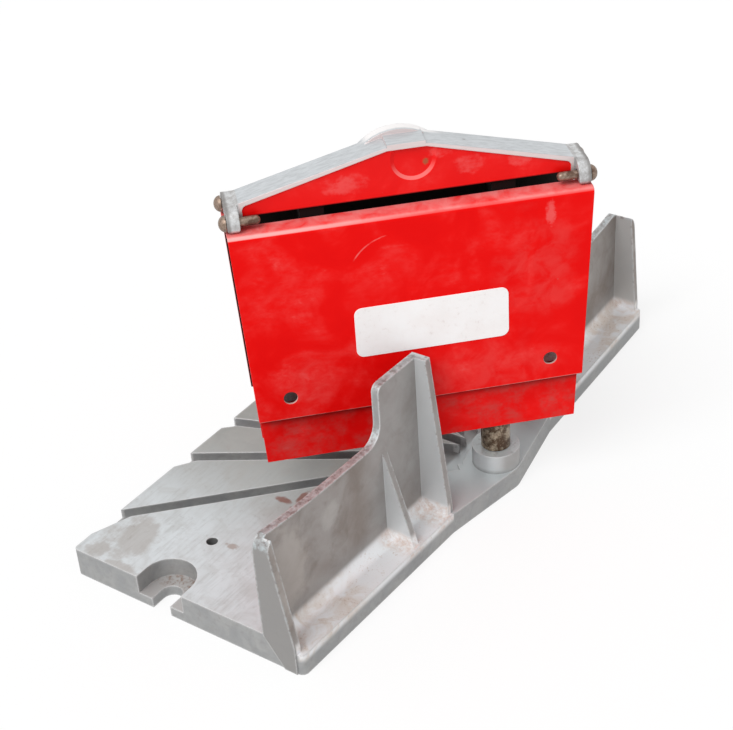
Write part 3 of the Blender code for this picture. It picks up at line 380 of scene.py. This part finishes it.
    def foot(self, colour):
        """The cove behind the fence: a whitish painted sheen, with sand to its end and rust by the ribs."""
        foot = self.both(self.behind, self.band(self.z, LEDGE_TOP - 1 * MM, LEDGE_TOP + 3 * MM, 3.5 * MM),
                         self.band(self.outward, GAP_RIB, BASE_END - 1.2 * MM, 0.6 * MM))
        sand = self.both(self.rise(self.smoke, 0.35, 0.65), self.rise(self.outward, 98 * MM, 112 * MM))
        # Painted sheen: the cove is painted whitish where it catches the light, with sand towards its end
        sheen_and_sand = self.over(sand, rgb(0.94, 0.95, 0.97), rgb(0.76, 0.68, 0.62))
        colour = self.over(foot, colour, sheen_and_sand, 0.85)
        specks = self.both(foot, self.rise(self.noise(1.1 * MM, 4, 0.7), 0.56, 0.66),
                           self.rise(self.smoke, 0.4, 0.6))
        colour = self.over(specks, colour, rgb(0.42, 0.27, 0.18), 0.5)
        by_ribs = self.either(self.band(self.outward, MID_RIB - 2 * MM, MID_RIB + 5 * MM, 6 * MM),
                              self.band(self.outward, GAP_RIB, GAP_RIB + 8 * MM, 6 * MM))
        rusty = self.both(foot, by_ribs, self.rise(self.mottle, 0.3, 0.75))
        return self.over(rusty, colour, rgb(0.56, 0.36, 0.25), 0.6)

    def hollows(self, colour):
        """The slots' pale pocket floors with dirt at the back, and painted shade in the bed's hole."""
        pocket = self.both(self.face_up, self.band(self.z, SLOT_FLOOR - 1 * MM, SLOT_FLOOR + 1 * MM, 1 * MM))
        colour = self.over(pocket, colour, rgb(0.5, 0.48, 0.47), 0.8)
        dirt = self.both(pocket, self.rise(self.mottle, 0.46, 0.62), self.rise(self.outward, 144 * MM, 138 * MM))
        colour = self.over(dirt, colour, rgb(0.26, 0.17, 0.13), 0.8)
        # Painted shade: the hole's walls are painted near-black
        hole_shade = self.both(self.patch(self.place, *BED_HOLE), self.upright)
        return self.over(hole_shade, colour, rgb(0.03, 0.03, 0.03))

    def edges(self, colour):
        """Bright chipped edges."""
        edge = self.rise(self.corners(1.2 * MM, True), 0.15, 0.5)
        chipped = self.both(edge, self.rise(self.mottle, 0.25, 0.5))
        return self.over(chipped, colour, rgb(0.66, 0.66, 0.66), 0.8)

    def fence_rim(self, colour):
        """The fence's pitted rim: its colour, and its pits as relief."""
        capping = self.either(self.rise(self.normal["Z"], 0.15, 0.4),
                              self.rise(self.corners(1.6 * MM, True), 0.2, 0.45))
        rim = self.both(capping, self.rise(self.z, 17 * MM, 24 * MM),
                        self.rise(self.depth, FENCE_FRONT - 1 * MM, FENCE_FRONT))
        pitted = self.noise(2.4 * MM, 4, 0.7)
        colour = self.over(self.both(rim, self.rise(pitted, 0.5, 0.6)), colour, rgb(0.52, 0.58, 0.6), 0.6)
        colour = self.over(self.both(rim, self.rise(pitted, 0.46, 0.38)), colour, rgb(0.16, 0.13, 0.12), 0.6)
        return colour, self.both(rim, self.spread(pitted, -1.0, 1.0))


def cast_aluminium():
    """Die-cast base: a bed with painted shade towards the case, a brown-clouded fence, painted light and shade
    on its faces, a cove with painted sheen and sand, and bright chipped edges.
    """
    paint = BaseFinish()
    colour = paint.plain()
    for layer in (paint.bed, paint.fence, paint.face_tones_and_painted_light, paint.foot, paint.hollows, paint.edges):
        colour = layer(colour)
    colour, pits = paint.fence_rim(colour)
    grain = paint.maths("MULTIPLY", paint.noise(0.55 * MM, 3, 0.6), 0.2)
    relief = paint.maths("ADD", paint.maths("MULTIPLY", paint.mottle, 0.4), grain)
    paint.bump(paint.maths("ADD", relief, pits), 0.4, 0.3 * MM, WORN_EDGE)
    return paint.finish(colour, paint.spread(paint.smoke, 0.36, 0.58))


def enamel_coat(paint, head):
    """Signal-red enamel with hazy rubbed patches, faint rub lines and tiny chips: its colour and its rub."""
    haze_cloud = paint.noise(24 * MM, 4, 0.55, head, twist=0.7)
    rub = paint.noise(5 * MM, 5, 0.65, paint.scaled(head, (0.6, 1, 1)))
    colour = paint.over(paint.rise(haze_cloud, 0.3, 0.7), rgb(0.84, 0.002, 0.002), rgb(0.9, 0.004, 0.003))
    haze = paint.both(paint.rise(haze_cloud, 0.46, 0.72), paint.rise(rub, 0.3, 0.7))
    colour = paint.over(haze, colour, rgb(0.9, 0.2, 0.19), 0.2)
    swept = paint.noise(1.4 * MM, 3, 0.6, paint.scaled(head, (0.1, 1, 0.22)), twist=0.6)
    lines = paint.both(paint.rise(swept, 0.6, 0.72), haze)
    colour = paint.over(lines, colour, rgb(0.92, 0.3, 0.28), 0.2)
    chips = paint.both(paint.rise(paint.cells(9 * MM), 0.05, 0.03), paint.rise(rub, 0.5, 0.6))
    colour = paint.over(chips, colour, rgb(0.42, 0.16, 0.13), 0.7)
    return colour, rub


def enamel_relief(paint, rub):
    """The slight waves and rubs of a sprayed coat."""
    waves = paint.maths("MULTIPLY", paint.noise(1.1 * MM, 2, 0.5), 0.4)
    paint.bump(paint.maths("ADD", waves, rub), 0.1, 0.2 * MM)


def case_enamel():
    """The case's enamel: hazy on its top, where a painted sheen pales it too, and to the right, with a painted
    highlight along its folds and painted shade inside.
    """
    paint = Finish("red_enamel", specular=0.08)
    head = paint.in_head_frame()
    x, y, z = paint.split(head)
    across = paint.maths("ABSOLUTE", y)
    colour, rub = enamel_coat(paint, head)
    soft = paint.noise(9 * MM, 5, 0.6, head, twist=0.5)

    dull = paint.both(paint.patches(head, DULL_PATCHES), paint.rise(soft, 0.3, 0.65))
    colour = paint.over(dull, colour, rgb(0.82, 0.13, 0.12), 0.24)
    colour = paint.over(paint.patch(head, *CASE_SMEAR), colour, rgb(0.93, 0.3, 0.29), 0.3)
    ring = paint.pair("DISTANCE", head, SCRATCH_CENTRE).outputs["Value"]
    scratch = paint.both(
        paint.band(ring, SCRATCH_RADIUS - 0.1 * MM, SCRATCH_RADIUS + 0.1 * MM, 0.35 * MM),
        paint.rise(x, 47 * MM, 50 * MM), paint.rise(x, 64 * MM, 60 * MM), paint.rise(z, 134 * MM, 137 * MM),
        paint.rise(rub, 0.3, 0.6),
    )
    colour = paint.over(scratch, colour, rgb(0.95, 0.4, 0.38), 0.35)

    # The top face is pale pink: partly haze, partly a painted sheen where it faces the light
    top = paint.rise(z, CASE_TOP - 1.2 * MM, CASE_TOP - 0.3 * MM)
    colour = paint.over(paint.both(top, paint.rise(soft, 0.2, 0.7)), colour, rgb(0.88, 0.26, 0.25), 0.85)
    # Painted highlight along the fold, fading towards the rear
    fold = paint.both(paint.band(z, CASE_TOP - 1.1 * MM, CASE_TOP - 0.5 * MM, 0.5 * MM),
                      paint.rise(across, CASE_HALF_WIDTH - 4 * MM, CASE_HALF_WIDTH - 2.6 * MM))
    fold_highlight = paint.both(fold, paint.spread(paint.rise(x, 20 * MM, 95 * MM), 0.25, 1.0))
    colour = paint.over(fold_highlight, colour, rgb(0.95, 0.5, 0.48), 0.8)

    worn = paint.either(paint.rise(z, CASE_BOTTOM + 0.5 * MM, CASE_BOTTOM + 0.2 * MM),
                        paint.rise(paint.corners(0.9 * MM, True), 0.35, 0.7))
    colour = paint.over(paint.both(worn, paint.rise(rub, 0.32, 0.55)), colour, rgb(0.72, 0.36, 0.33), 0.7)
    # Painted shade: inside the sheet, the case is painted near-black
    inside = paint.both(paint.rise(across, CASE_HALF_WIDTH - CASE_SHEET + 0.2 * MM,
                                   CASE_HALF_WIDTH - CASE_SHEET + 0.05 * MM),
                        paint.rise(z, CASE_TOP - 0.5 * MM, CASE_TOP - 1 * MM))
    colour = paint.over(inside, colour, rgb(0.03, 0.022, 0.02))
    in_sheet = paint.band(across, CASE_HALF_WIDTH - CASE_SHEET, CASE_HALF_WIDTH - 0.15 * MM, 0.1 * MM)
    for hole_x, hole_z in HOLE_PLACES:
        rim = paint.patch(head, (hole_x, 0, hole_z), (5.2, 900, 5.2), 0.0)
        wall = paint.both(rim, paint.without(inside), in_sheet)
        colour = paint.over(wall, colour, rgb(0.5, 0.46, 0.42), 0.9)

    enamel_relief(paint, rub)
    return paint.finish(colour, paint.spread(rub, 0.3, 0.55))


def guard_enamel():
    """The guard plates' enamel, dusty, darker towards the front end in painted shade, with a painted shadow
    under the case's lower edge.
    """
    paint = Finish("guard_enamel", specular=0.08)
    head = paint.in_head_frame()
    x, _, z = paint.split(head)
    colour, rub = enamel_coat(paint, head)
    dust = paint.both(paint.rise(paint.noise(10 * MM, 5, 0.6, head), 0.4, 0.65), paint.rise(rub, 0.25, 0.6))
    colour = paint.over(dust, colour, rgb(0.42, 0.1, 0.09), 0.4)
    # Painted shade: the strip darkens towards the front end
    left = paint.rise(x, 20 * MM, 90 * MM)
    colour = paint.over(left, colour, rgb(0.55, 0.0, 0.0), 0.1)
    # Painted shadow of the case's overhang, along the band under its lower edge
    grime = paint.rise(z, CASE_BOTTOM - 6.5 * MM, CASE_BOTTOM - 1.5 * MM)
    colour = paint.over(grime, colour, rgb(0.1, 0.004, 0.004), 0.85)
    worn = paint.both(paint.rise(paint.corners(0.9 * MM, True), 0.35, 0.7), paint.rise(rub, 0.35, 0.6))
    colour = paint.over(worn, colour, rgb(0.7, 0.33, 0.3), 0.5)
    enamel_relief(paint, rub)
    return paint.finish(colour, paint.spread(rub, 0.32, 0.58))


def panel_enamel(paint, head):
    """The enamel in the handle's panels, scuffed and chipped, with a painted highlight on the dish's lip: its
    colour and its rub.
    """
    _, y, z = paint.split(head)
    red, rub = enamel_coat(paint, head)
    scuffs = paint.both(paint.patches(head, HANDLE_SCUFFS), paint.rise(rub, 0.3, 0.6))
    red = paint.over(scuffs, red, rgb(0.92, 0.25, 0.24), 0.26)
    red = paint.over(paint.patch(head, *HANDLE_CHIP), red, rgb(0.3, 0.13, 0.05), 0.75)
    # Painted highlight on the dish's lower slope
    dish_highlight = paint.both(paint.band(y, DISH_FLOOR + 0.15 * MM, PANEL_FACE - 0.15 * MM, 0.1 * MM),
                     paint.rise(z, 172 * MM, 165 * MM))
    return paint.over(dish_highlight, red, rgb(0.95, 0.35, 0.33), 0.5), rub


def bare_metal(paint, head, along, ears, rub, streak):
    """The handle's bare metal: streaked and nicked, with a painted highlight on the thumb rest, dark outside the
    ears.
    """
    _, y, z = paint.split(head)
    metal = paint.over(paint.rise(streak, 0.35, 0.7), rgb(0.6, 0.625, 0.645), rgb(0.49, 0.51, 0.525))
    nicks = paint.both(paint.rise(paint.cells(7 * MM, paint.scaled(head, (0.5, 1, 1))), 0.07, 0.04),
                       paint.rise(rub, 0.45, 0.55))
    metal = paint.over(nicks, metal, rgb(0.2, 0.18, 0.17), 0.8)
    far_side = paint.rise(y, -HANDLE_HALF_WIDTH + 3 * MM, -HANDLE_HALF_WIDTH + 1 * MM)
    # Painted highlight on the top of the thumb rest
    thumb_rest_highlight = paint.both(far_side, paint.rise(along, 24 * MM, 22 * MM), paint.rise(z, 176 * MM, 179 * MM))
    metal = paint.over(thumb_rest_highlight, metal, rgb(0.95, 0.92, 0.91), 0.9)
    spotted = paint.rise(paint.noise(3 * MM, 4, 0.65), 0.35, 0.65)
    ear_metal = paint.over(spotted, rgb(0.64, 0.65, 0.655), rgb(0.42, 0.41, 0.405))
    outside = paint.both(ears, paint.rise(along, 73 * MM, 74.4 * MM))
    ear_metal = paint.over(outside, ear_metal, rgb(0.2, 0.185, 0.175), 0.75)
    return paint.over(ears, metal, ear_metal)


def handle_finish():
    """The handle: red enamel in its side panels, bare rubbed metal on top and ears, and painted shade
    underneath.
    """
    paint = Finish("handle_enamel", specular=0.2)
    head = paint.in_head_frame()
    x, y, z = paint.split(head)
    across = paint.maths("ABSOLUTE", y)
    along = paint.maths("ABSOLUTE", paint.maths("SUBTRACT", x, CASE_MIDDLE))
    ears = paint.rise(along, EAR_START - 0.5 * MM, EAR_START)
    grip = paint.without(ears)
    streak = paint.noise(1.2 * MM, 4, 0.65, paint.scaled(head, (0.12, 1, 1)))
    red, rub = panel_enamel(paint, head)
    metal = bare_metal(paint, head, along, ears, rub, streak)

    side_on = paint.rise(paint.maths("ABSOLUTE", paint.normal["Z"]), 0.75, 0.5)
    in_panel = paint.band(across, DISH_FLOOR - 0.1 * MM, HANDLE_HALF_WIDTH - 0.35 * MM, 0.15 * MM)
    painted = paint.both(side_on, in_panel, grip, paint.rise(z, PANEL_TOP + 0.3 * MM, PANEL_TOP))
    rim = paint.both(side_on, paint.without(in_panel), grip)
    metal = paint.over(rim, metal, rgb(0.86, 0.7, 0.68), 0.7)
    colour = paint.over(painted, metal, red)
    # Painted shade: below its bottom, the handle is painted near-black
    under = paint.both(paint.rise(z, HANDLE_BOTTOM + 0.7 * MM, HANDLE_BOTTOM - 0.2 * MM), grip)
    colour = paint.over(under, colour, rgb(0.008, 0.003, 0.003))

    roughness = paint.over(painted, paint.spread(streak, 0.28, 0.5), paint.spread(rub, 0.3, 0.55))
    roughness = paint.over(under, roughness, rgb(1, 1, 1))
    metallic = paint.both(paint.without(painted), paint.spread(under, 0.45, 0.0))
    paint.feed(paint.shader.inputs["Metallic"], metallic)
    relief = paint.maths("ADD", paint.maths("MULTIPLY", streak, 0.5), rub)
    paint.bump(relief, 0.12, 0.2 * MM, WORN_EDGE)
    return paint.finish(colour, roughness)


def steel(name, pale, dark, rust, rust_share):
    """Plain steel with fine scuffs, and brown stains over part of it."""
    paint = Finish(name, metallic=0.6, specular=0.5)
    cloud = paint.noise(6 * MM, 5, 0.65)
    grain = paint.noise(0.8 * MM, 3, 0.6)
    colour = paint.over(paint.rise(grain, 0.3, 0.7), dark, pale)
    stained = paint.both(paint.rise(cloud, 1 - rust_share, 1.12 - rust_share), paint.rise(grain, 0.2, 0.5))
    colour = paint.over(stained, colour, rust)
    paint.bump(grain, 0.3, 0.15 * MM)
    return paint.finish(colour, paint.spread(cloud, 0.25, 0.6))


def slide_fibre():
    """Brown pressed fibre with a felted grain."""
    paint = Finish("slide_fibre", specular=0.3)
    grain = paint.noise(0.7 * MM, 4, 0.7)
    cloud = paint.noise(8 * MM, 3, 0.6)
    colour = paint.over(paint.rise(grain, 0.3, 0.7), rgb(0.07, 0.04, 0.022), rgb(0.17, 0.1, 0.06))
    paint.bump(grain, 0.4, 0.2 * MM)
    return paint.finish(colour, paint.spread(cloud, 0.6, 0.85))


def label_paper():
    """White label stock, a little yellowed, grubby in places and rubbed."""
    paint = Finish("label_paper", specular=0.3)
    head = paint.in_head_frame()
    cloud = paint.noise(12 * MM, 5, 0.6, head)
    fibre = paint.noise(0.6 * MM, 3, 0.6)
    colour = paint.over(paint.rise(cloud, 0.3, 0.75), rgb(0.99, 0.97, 0.97), rgb(0.95, 0.91, 0.9))
    grime = paint.both(paint.rise(paint.noise(3 * MM, 5, 0.7, head), 0.55, 0.75), paint.rise(cloud, 0.4, 0.6))
    colour = paint.over(grime, colour, rgb(0.6, 0.5, 0.47), 0.35)
    paint.bump(fibre, 0.15, 0.1 * MM)
    return paint.finish(colour, paint.spread(cloud, 0.4, 0.6))


def node_group(name):
    """An empty geometry node group that takes a mesh in and gives one out, with its two ends."""
    group = bpy.data.node_groups.new(name, "GeometryNodeTree")
    group.interface.new_socket("Geometry", in_out="INPUT", socket_type="NodeSocketGeometry")
    group.interface.new_socket("Geometry", in_out="OUTPUT", socket_type="NodeSocketGeometry")
    return group, group.nodes.new("NodeGroupInput"), group.nodes.new("NodeGroupOutput")


def chain(group, nodes):
    """Link each node's first output to the next one's first input."""
    for first, second in zip(nodes, nodes[1:]):
        group.links.new(first.outputs[0], second.inputs[0])


def joined_group():
    """Joins a loaded mesh's triangles and drops their stored normals."""
    group, start, end = node_group("joined")
    merge = group.nodes.new("GeometryNodeMergeByDistance")
    merge.inputs["Distance"].default_value = JOIN_REACH
    plain = group.nodes.new("GeometryNodeRemoveAttribute")
    plain.inputs["Name"].default_value = "custom_normal"
    chain(group, (start, merge, plain, end))
    return group


def edges_group(name, rounded):
    """Shades a mesh smooth, and marks its sharp edges for rounding or keeps them sharp."""
    group, start, end = node_group(name)
    smooth = group.nodes.new("GeometryNodeSetShadeSmooth")
    angle = group.nodes.new("GeometryNodeInputMeshEdgeAngle").outputs["Unsigned Angle"]
    turns = group.nodes.new("FunctionNodeCompare")
    turns.operation = "GREATER_THAN"
    group.links.new(angle, turns.inputs[0])
    turns.inputs[1].default_value = EDGE_ANGLE
    if rounded:
        mark = group.nodes.new("GeometryNodeStoreNamedAttribute")
        mark.domain = "EDGE"
        mark.data_type = "FLOAT"
        mark.inputs["Name"].default_value = "bevel_weight_edge"
        mark.inputs["Value"].default_value = 1.0
    else:
        mark = group.nodes.new("GeometryNodeSetShadeSmooth")
        mark.domain = "EDGE"
        mark.inputs["Shade Smooth"].default_value = False
    group.links.new(turns.outputs["Result"], mark.inputs["Selection"])
    chain(group, (start, smooth, mark, end))
    return group


def soften(node, joined, edges, width):
    """Shade a node's round faces smooth and, with a width, round its sharp edges, its mesh untouched."""
    node.modifiers.new("joined", "NODES").node_group = joined
    node.modifiers.new("edges", "NODES").node_group = edges
    if width:
        bevel = node.modifiers.new("soft_edge", "BEVEL")
        bevel.limit_method = "WEIGHT"
        bevel.width = width
        bevel.segments = 2
        bevel.use_clamp_overlap = False
        bevel.harden_normals = True


def open_panel_group():
    """Takes the near panel's flat face, whose triangles fold over the dish, out of the handle."""
    group, start, end = node_group("open_panel")
    out = group.nodes.new("ShaderNodeVectorMath")
    out.operation = "DOT_PRODUCT"
    group.links.new(group.nodes.new("GeometryNodeInputPosition").outputs[0], out.inputs[0])
    out.inputs[1].default_value = ACROSS
    level = group.nodes.new("FunctionNodeCompare")
    level.operation = "EQUAL"
    group.links.new(out.outputs["Value"], level.inputs[0])
    level.inputs[1].default_value = PIVOT.dot(ACROSS) + PANEL_FACE
    level.inputs["Epsilon"].default_value = LEVEL_SLACK
    clear = group.nodes.new("GeometryNodeDeleteGeometry")
    clear.domain = "FACE"
    group.links.new(level.outputs["Result"], clear.inputs["Selection"])
    chain(group, (start, clear, end))
    return group


def panel_loop(faces, vertices):
    """Points round the near panel's flat face, from the top of the dish round to the slope's foot."""
    sides = set()
    for face in faces:
        corners = [tuple(round(value, 7) for value in vertices[index].co) for index in face.vertices]
        for first, second in zip(corners, corners[1:] + corners[:1]):
            if (second, first) in sides:
                sides.remove((second, first))
            else:
                sides.add((first, second))
    clear = {point for side in sides for point in side
             if (Vector(point) - HEAD @ DISH_CENTRE).length > DISH_REACH}
    following = {first: second for first, second in sides if first in clear and second in clear}
    starts = sorted(set(following) - set(following.values()))
    points = starts[:1]
    while points and points[-1] in following:
        points.append(following.pop(points[-1]))
    return points


def near_panel(handle, material):
    """One clean face over the near panel, with the dish left open, where the handle's own one is folded."""
    faces = [face for face in handle.data.polygons
             if abs((face.center - PIVOT).dot(ACROSS) - PANEL_FACE) < LEVEL_SLACK]
    points = panel_loop(faces, handle.data.vertices)
    folded = any(face.normal.dot(ACROSS) < 0 for face in faces)
    if not folded or len(points) < 3:
        return
    mesh = bpy.data.meshes.new("near_panel")
    shape = bmesh.new()
    panel_face = shape.faces.new([shape.verts.new(point) for point in points])
    panel_face.normal_update()
    own_area = sum(math.copysign(face.area, face.normal.dot(ACROSS)) for face in faces)
    fits = abs(panel_face.calc_area() - own_area) < AREA_SLACK * own_area
    bmesh.ops.triangulate(shape, faces=[panel_face], ngon_method="EAR_CLIP")
    shape.to_mesh(mesh)
    shape.free()
    if not fits:
        return
    mesh.materials.append(material)
    panel = bpy.data.objects.new("near_panel", mesh)
    bpy.context.scene.collection.objects.link(panel)
    handle.modifiers.new("open_panel", "NODES").node_group = open_panel_group()
    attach(panel, "saw")


def rounded_corners(start, bottom, end, top, radius, steps):
    """Outline of a rectangle with round corners, counter-clockwise."""
    points = []
    centres = ((end - radius, bottom + radius, -90), (end - radius, top - radius, 0),
               (start + radius, top - radius, 90), (start + radius, bottom + radius, 180))
    for across, up, first in centres:
        for step in range(steps + 1):
            angle = math.radians(first + 90 * step / steps)
            points.append((across + radius * math.cos(angle), up + radius * math.sin(angle)))
    return points


def label_plate(material):
    """The bare label: a thin rounded plate laid on the near side of the case."""
    outline = rounded_corners(LABEL_START, LABEL_BOTTOM, LABEL_END, LABEL_TOP, LABEL_CORNER, 8)
    mesh = bpy.data.meshes.new("bare_label")
    shape = bmesh.new()
    face = shape.faces.new([shape.verts.new((x, CASE_HALF_WIDTH, z)) for x, z in outline])
    raised = bmesh.ops.extrude_face_region(shape, geom=[face])
    moved = [item for item in raised["geom"] if isinstance(item, bmesh.types.BMVert)]
    bmesh.ops.translate(shape, vec=(0, LABEL_THICKNESS, 0), verts=moved)
    bmesh.ops.recalc_face_normals(shape, faces=shape.faces)
    shape.transform(HEAD)
    shape.to_mesh(mesh)
    shape.free()
    mesh.materials.append(material)
    label = bpy.data.objects.new("bare_label", mesh)
    bpy.context.scene.collection.objects.link(label)
    bevel = label.modifiers.new("soft_edge", "BEVEL")
    bevel.width = LABEL_THICKNESS * 0.45
    bevel.segments = 2
    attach(label, "head")


def dress_nodes():
    """Finish every CAD node, round its edges or keep them sharp, and close the near panel."""
    joined = joined_group()
    round_edges = edges_group("rounded_edges", True)
    sharp_edges = edges_group("sharp_edges", False)
    guard = guard_enamel()
    post = steel("post_steel", rgb(0.42, 0.35, 0.26), rgb(0.22, 0.16, 0.11), rgb(0.08, 0.045, 0.025), 0.58)
    special = {
        "base_casting": (cast_aluminium(), sharp_edges, 0),
        "saw_case": (case_enamel(), round_edges, CASE_EDGE),
        "guard_plate_near": (guard, round_edges, GUARD_EDGE),
        "guard_plate_far": (guard, round_edges, GUARD_EDGE),
        "handle_casting": (handle_finish(), sharp_edges, 0),
        "pivot_post": (post, sharp_edges, 0),
    }
    by_slot = {
        "steel": steel("pin_steel", rgb(0.34, 0.25, 0.2), rgb(0.2, 0.14, 0.1), rgb(0.11, 0.06, 0.04), 0.5),
        "blade_steel": steel("blade_steel", rgb(0.66, 0.66, 0.66), rgb(0.5, 0.5, 0.5),
                             rgb(0.3, 0.24, 0.19), 0.36),
        "slide_fibre": slide_fibre(),
    }
    slots = {part["node"]: part["material_slot"] for part in frame["record"]["subparts"]}
    for name, node in frame["nodes"].items():
        material, edges, width = special.get(name) or (by_slot[slots[name]], sharp_edges, 0)
        node.data.materials.clear()
        node.data.materials.append(material)
        soften(node, joined, edges, width)
    near_panel(frame["nodes"]["handle_casting"], special["handle_casting"][0])


def camera():
    """The photo's view."""
    flat = math.cos(CAMERA_ELEVATION)
    back = Vector((flat * math.cos(CAMERA_AZIMUTH), flat * math.sin(CAMERA_AZIMUTH),
                   math.sin(CAMERA_ELEVATION)))
    right = (-back).cross(Vector((0, 0, 1))).normalized()
    up = right.cross(-back)
    side = math.cos(CAMERA_ROLL) * right + math.sin(CAMERA_ROLL) * up
    top = -math.sin(CAMERA_ROLL) * right + math.cos(CAMERA_ROLL) * up
    data = bpy.data.cameras.new("camera")
    data.sensor_fit = "HORIZONTAL"
    data.sensor_width = SENSOR_WIDTH
    data.lens = CAMERA_LENS
    data.clip_start = CLIP_START
    view = bpy.data.objects.new("camera", data)
    turn = Matrix((side, top, back)).transposed().to_4x4()
    view.matrix_world = Matrix.Translation(CAMERA_PLACE) @ turn
    bpy.context.scene.collection.objects.link(view)
    bpy.context.scene.camera = view


def seen_directly(tree):
    """1 for a camera, mirror or see-through ray, 0 for a ray that carries soft light."""
    path = tree.nodes.new("ShaderNodeLightPath")
    total = path.outputs["Is Camera Ray"]
    for name in ("Is Glossy Ray", "Is Transmission Ray"):
        node = tree.nodes.new("ShaderNodeMath")
        node.operation = "MAXIMUM"
        tree.links.new(total, node.inputs[0])
        tree.links.new(path.outputs[name], node.inputs[1])
        total = node.outputs["Value"]
    return total


def by_ray(tree, seen, soft_value, seen_value):
    """One value for soft light and another for what is seen directly."""
    node = tree.nodes.new("ShaderNodeMapRange")
    node.inputs["To Min"].default_value = soft_value
    node.inputs["To Max"].default_value = seen_value
    tree.links.new(seen, node.inputs["Value"])
    return node.outputs["Result"]


def sky():
    """White surroundings that light the object evenly at a plain level."""
    world = bpy.data.worlds.new("studio")
    world.use_nodes = True
    tree = world.node_tree
    background = tree.nodes["Background"]
    background.inputs["Color"].default_value = rgb(1, 1, 1)
    tree.links.new(by_ray(tree, seen_directly(tree), SKY_SOFT, SKY_SEEN), background.inputs["Strength"])
    bpy.context.scene.world = world


def floor():
    """A white floor that keeps the object's soft shadow."""
    mesh = bpy.data.meshes.new("floor")
    half = FLOOR_HALF
    corners = [(-half, -half, 0), (half, -half, 0), (half, half, 0), (-half, half, 0)]
    mesh.from_pydata(corners, [], [(0, 1, 2, 3)])
    material = bpy.data.materials.new("floor_white")
    material.use_nodes = True
    tree = material.node_tree
    shader = tree.nodes["Principled BSDF"]
    shader.inputs["Roughness"].default_value = 1.0
    shader.inputs["Specular IOR Level"].default_value = 0.0
    shader.inputs["Emission Color"].default_value = rgb(1, 1, 1)
    seen = seen_directly(tree)
    tree.links.new(by_ray(tree, seen, FLOOR_SOFT, FLOOR_SEEN), shader.inputs["Base Color"])
    tree.links.new(by_ray(tree, seen, 0.0, FLOOR_GLOW), shader.inputs["Emission Strength"])
    mesh.materials.append(material)
    ground = bpy.data.objects.new("floor", mesh)
    bpy.context.scene.collection.objects.link(ground)


def lamp():
    """One broad soft key light from the photo's upper left."""
    data = bpy.data.lights.new("key", "SUN")
    data.energy = KEY_STRENGTH
    data.angle = KEY_SPREAD
    key = bpy.data.objects.new("key", data)
    key.rotation_euler = KEY_TOWARDS.to_track_quat("Z", "Y").to_euler()
    bpy.context.scene.collection.objects.link(key)


camera()
sky()
floor()
lamp()
dress_nodes()
label_plate(label_paper())
bpy.context.scene.view_settings.view_transform = "Standard"
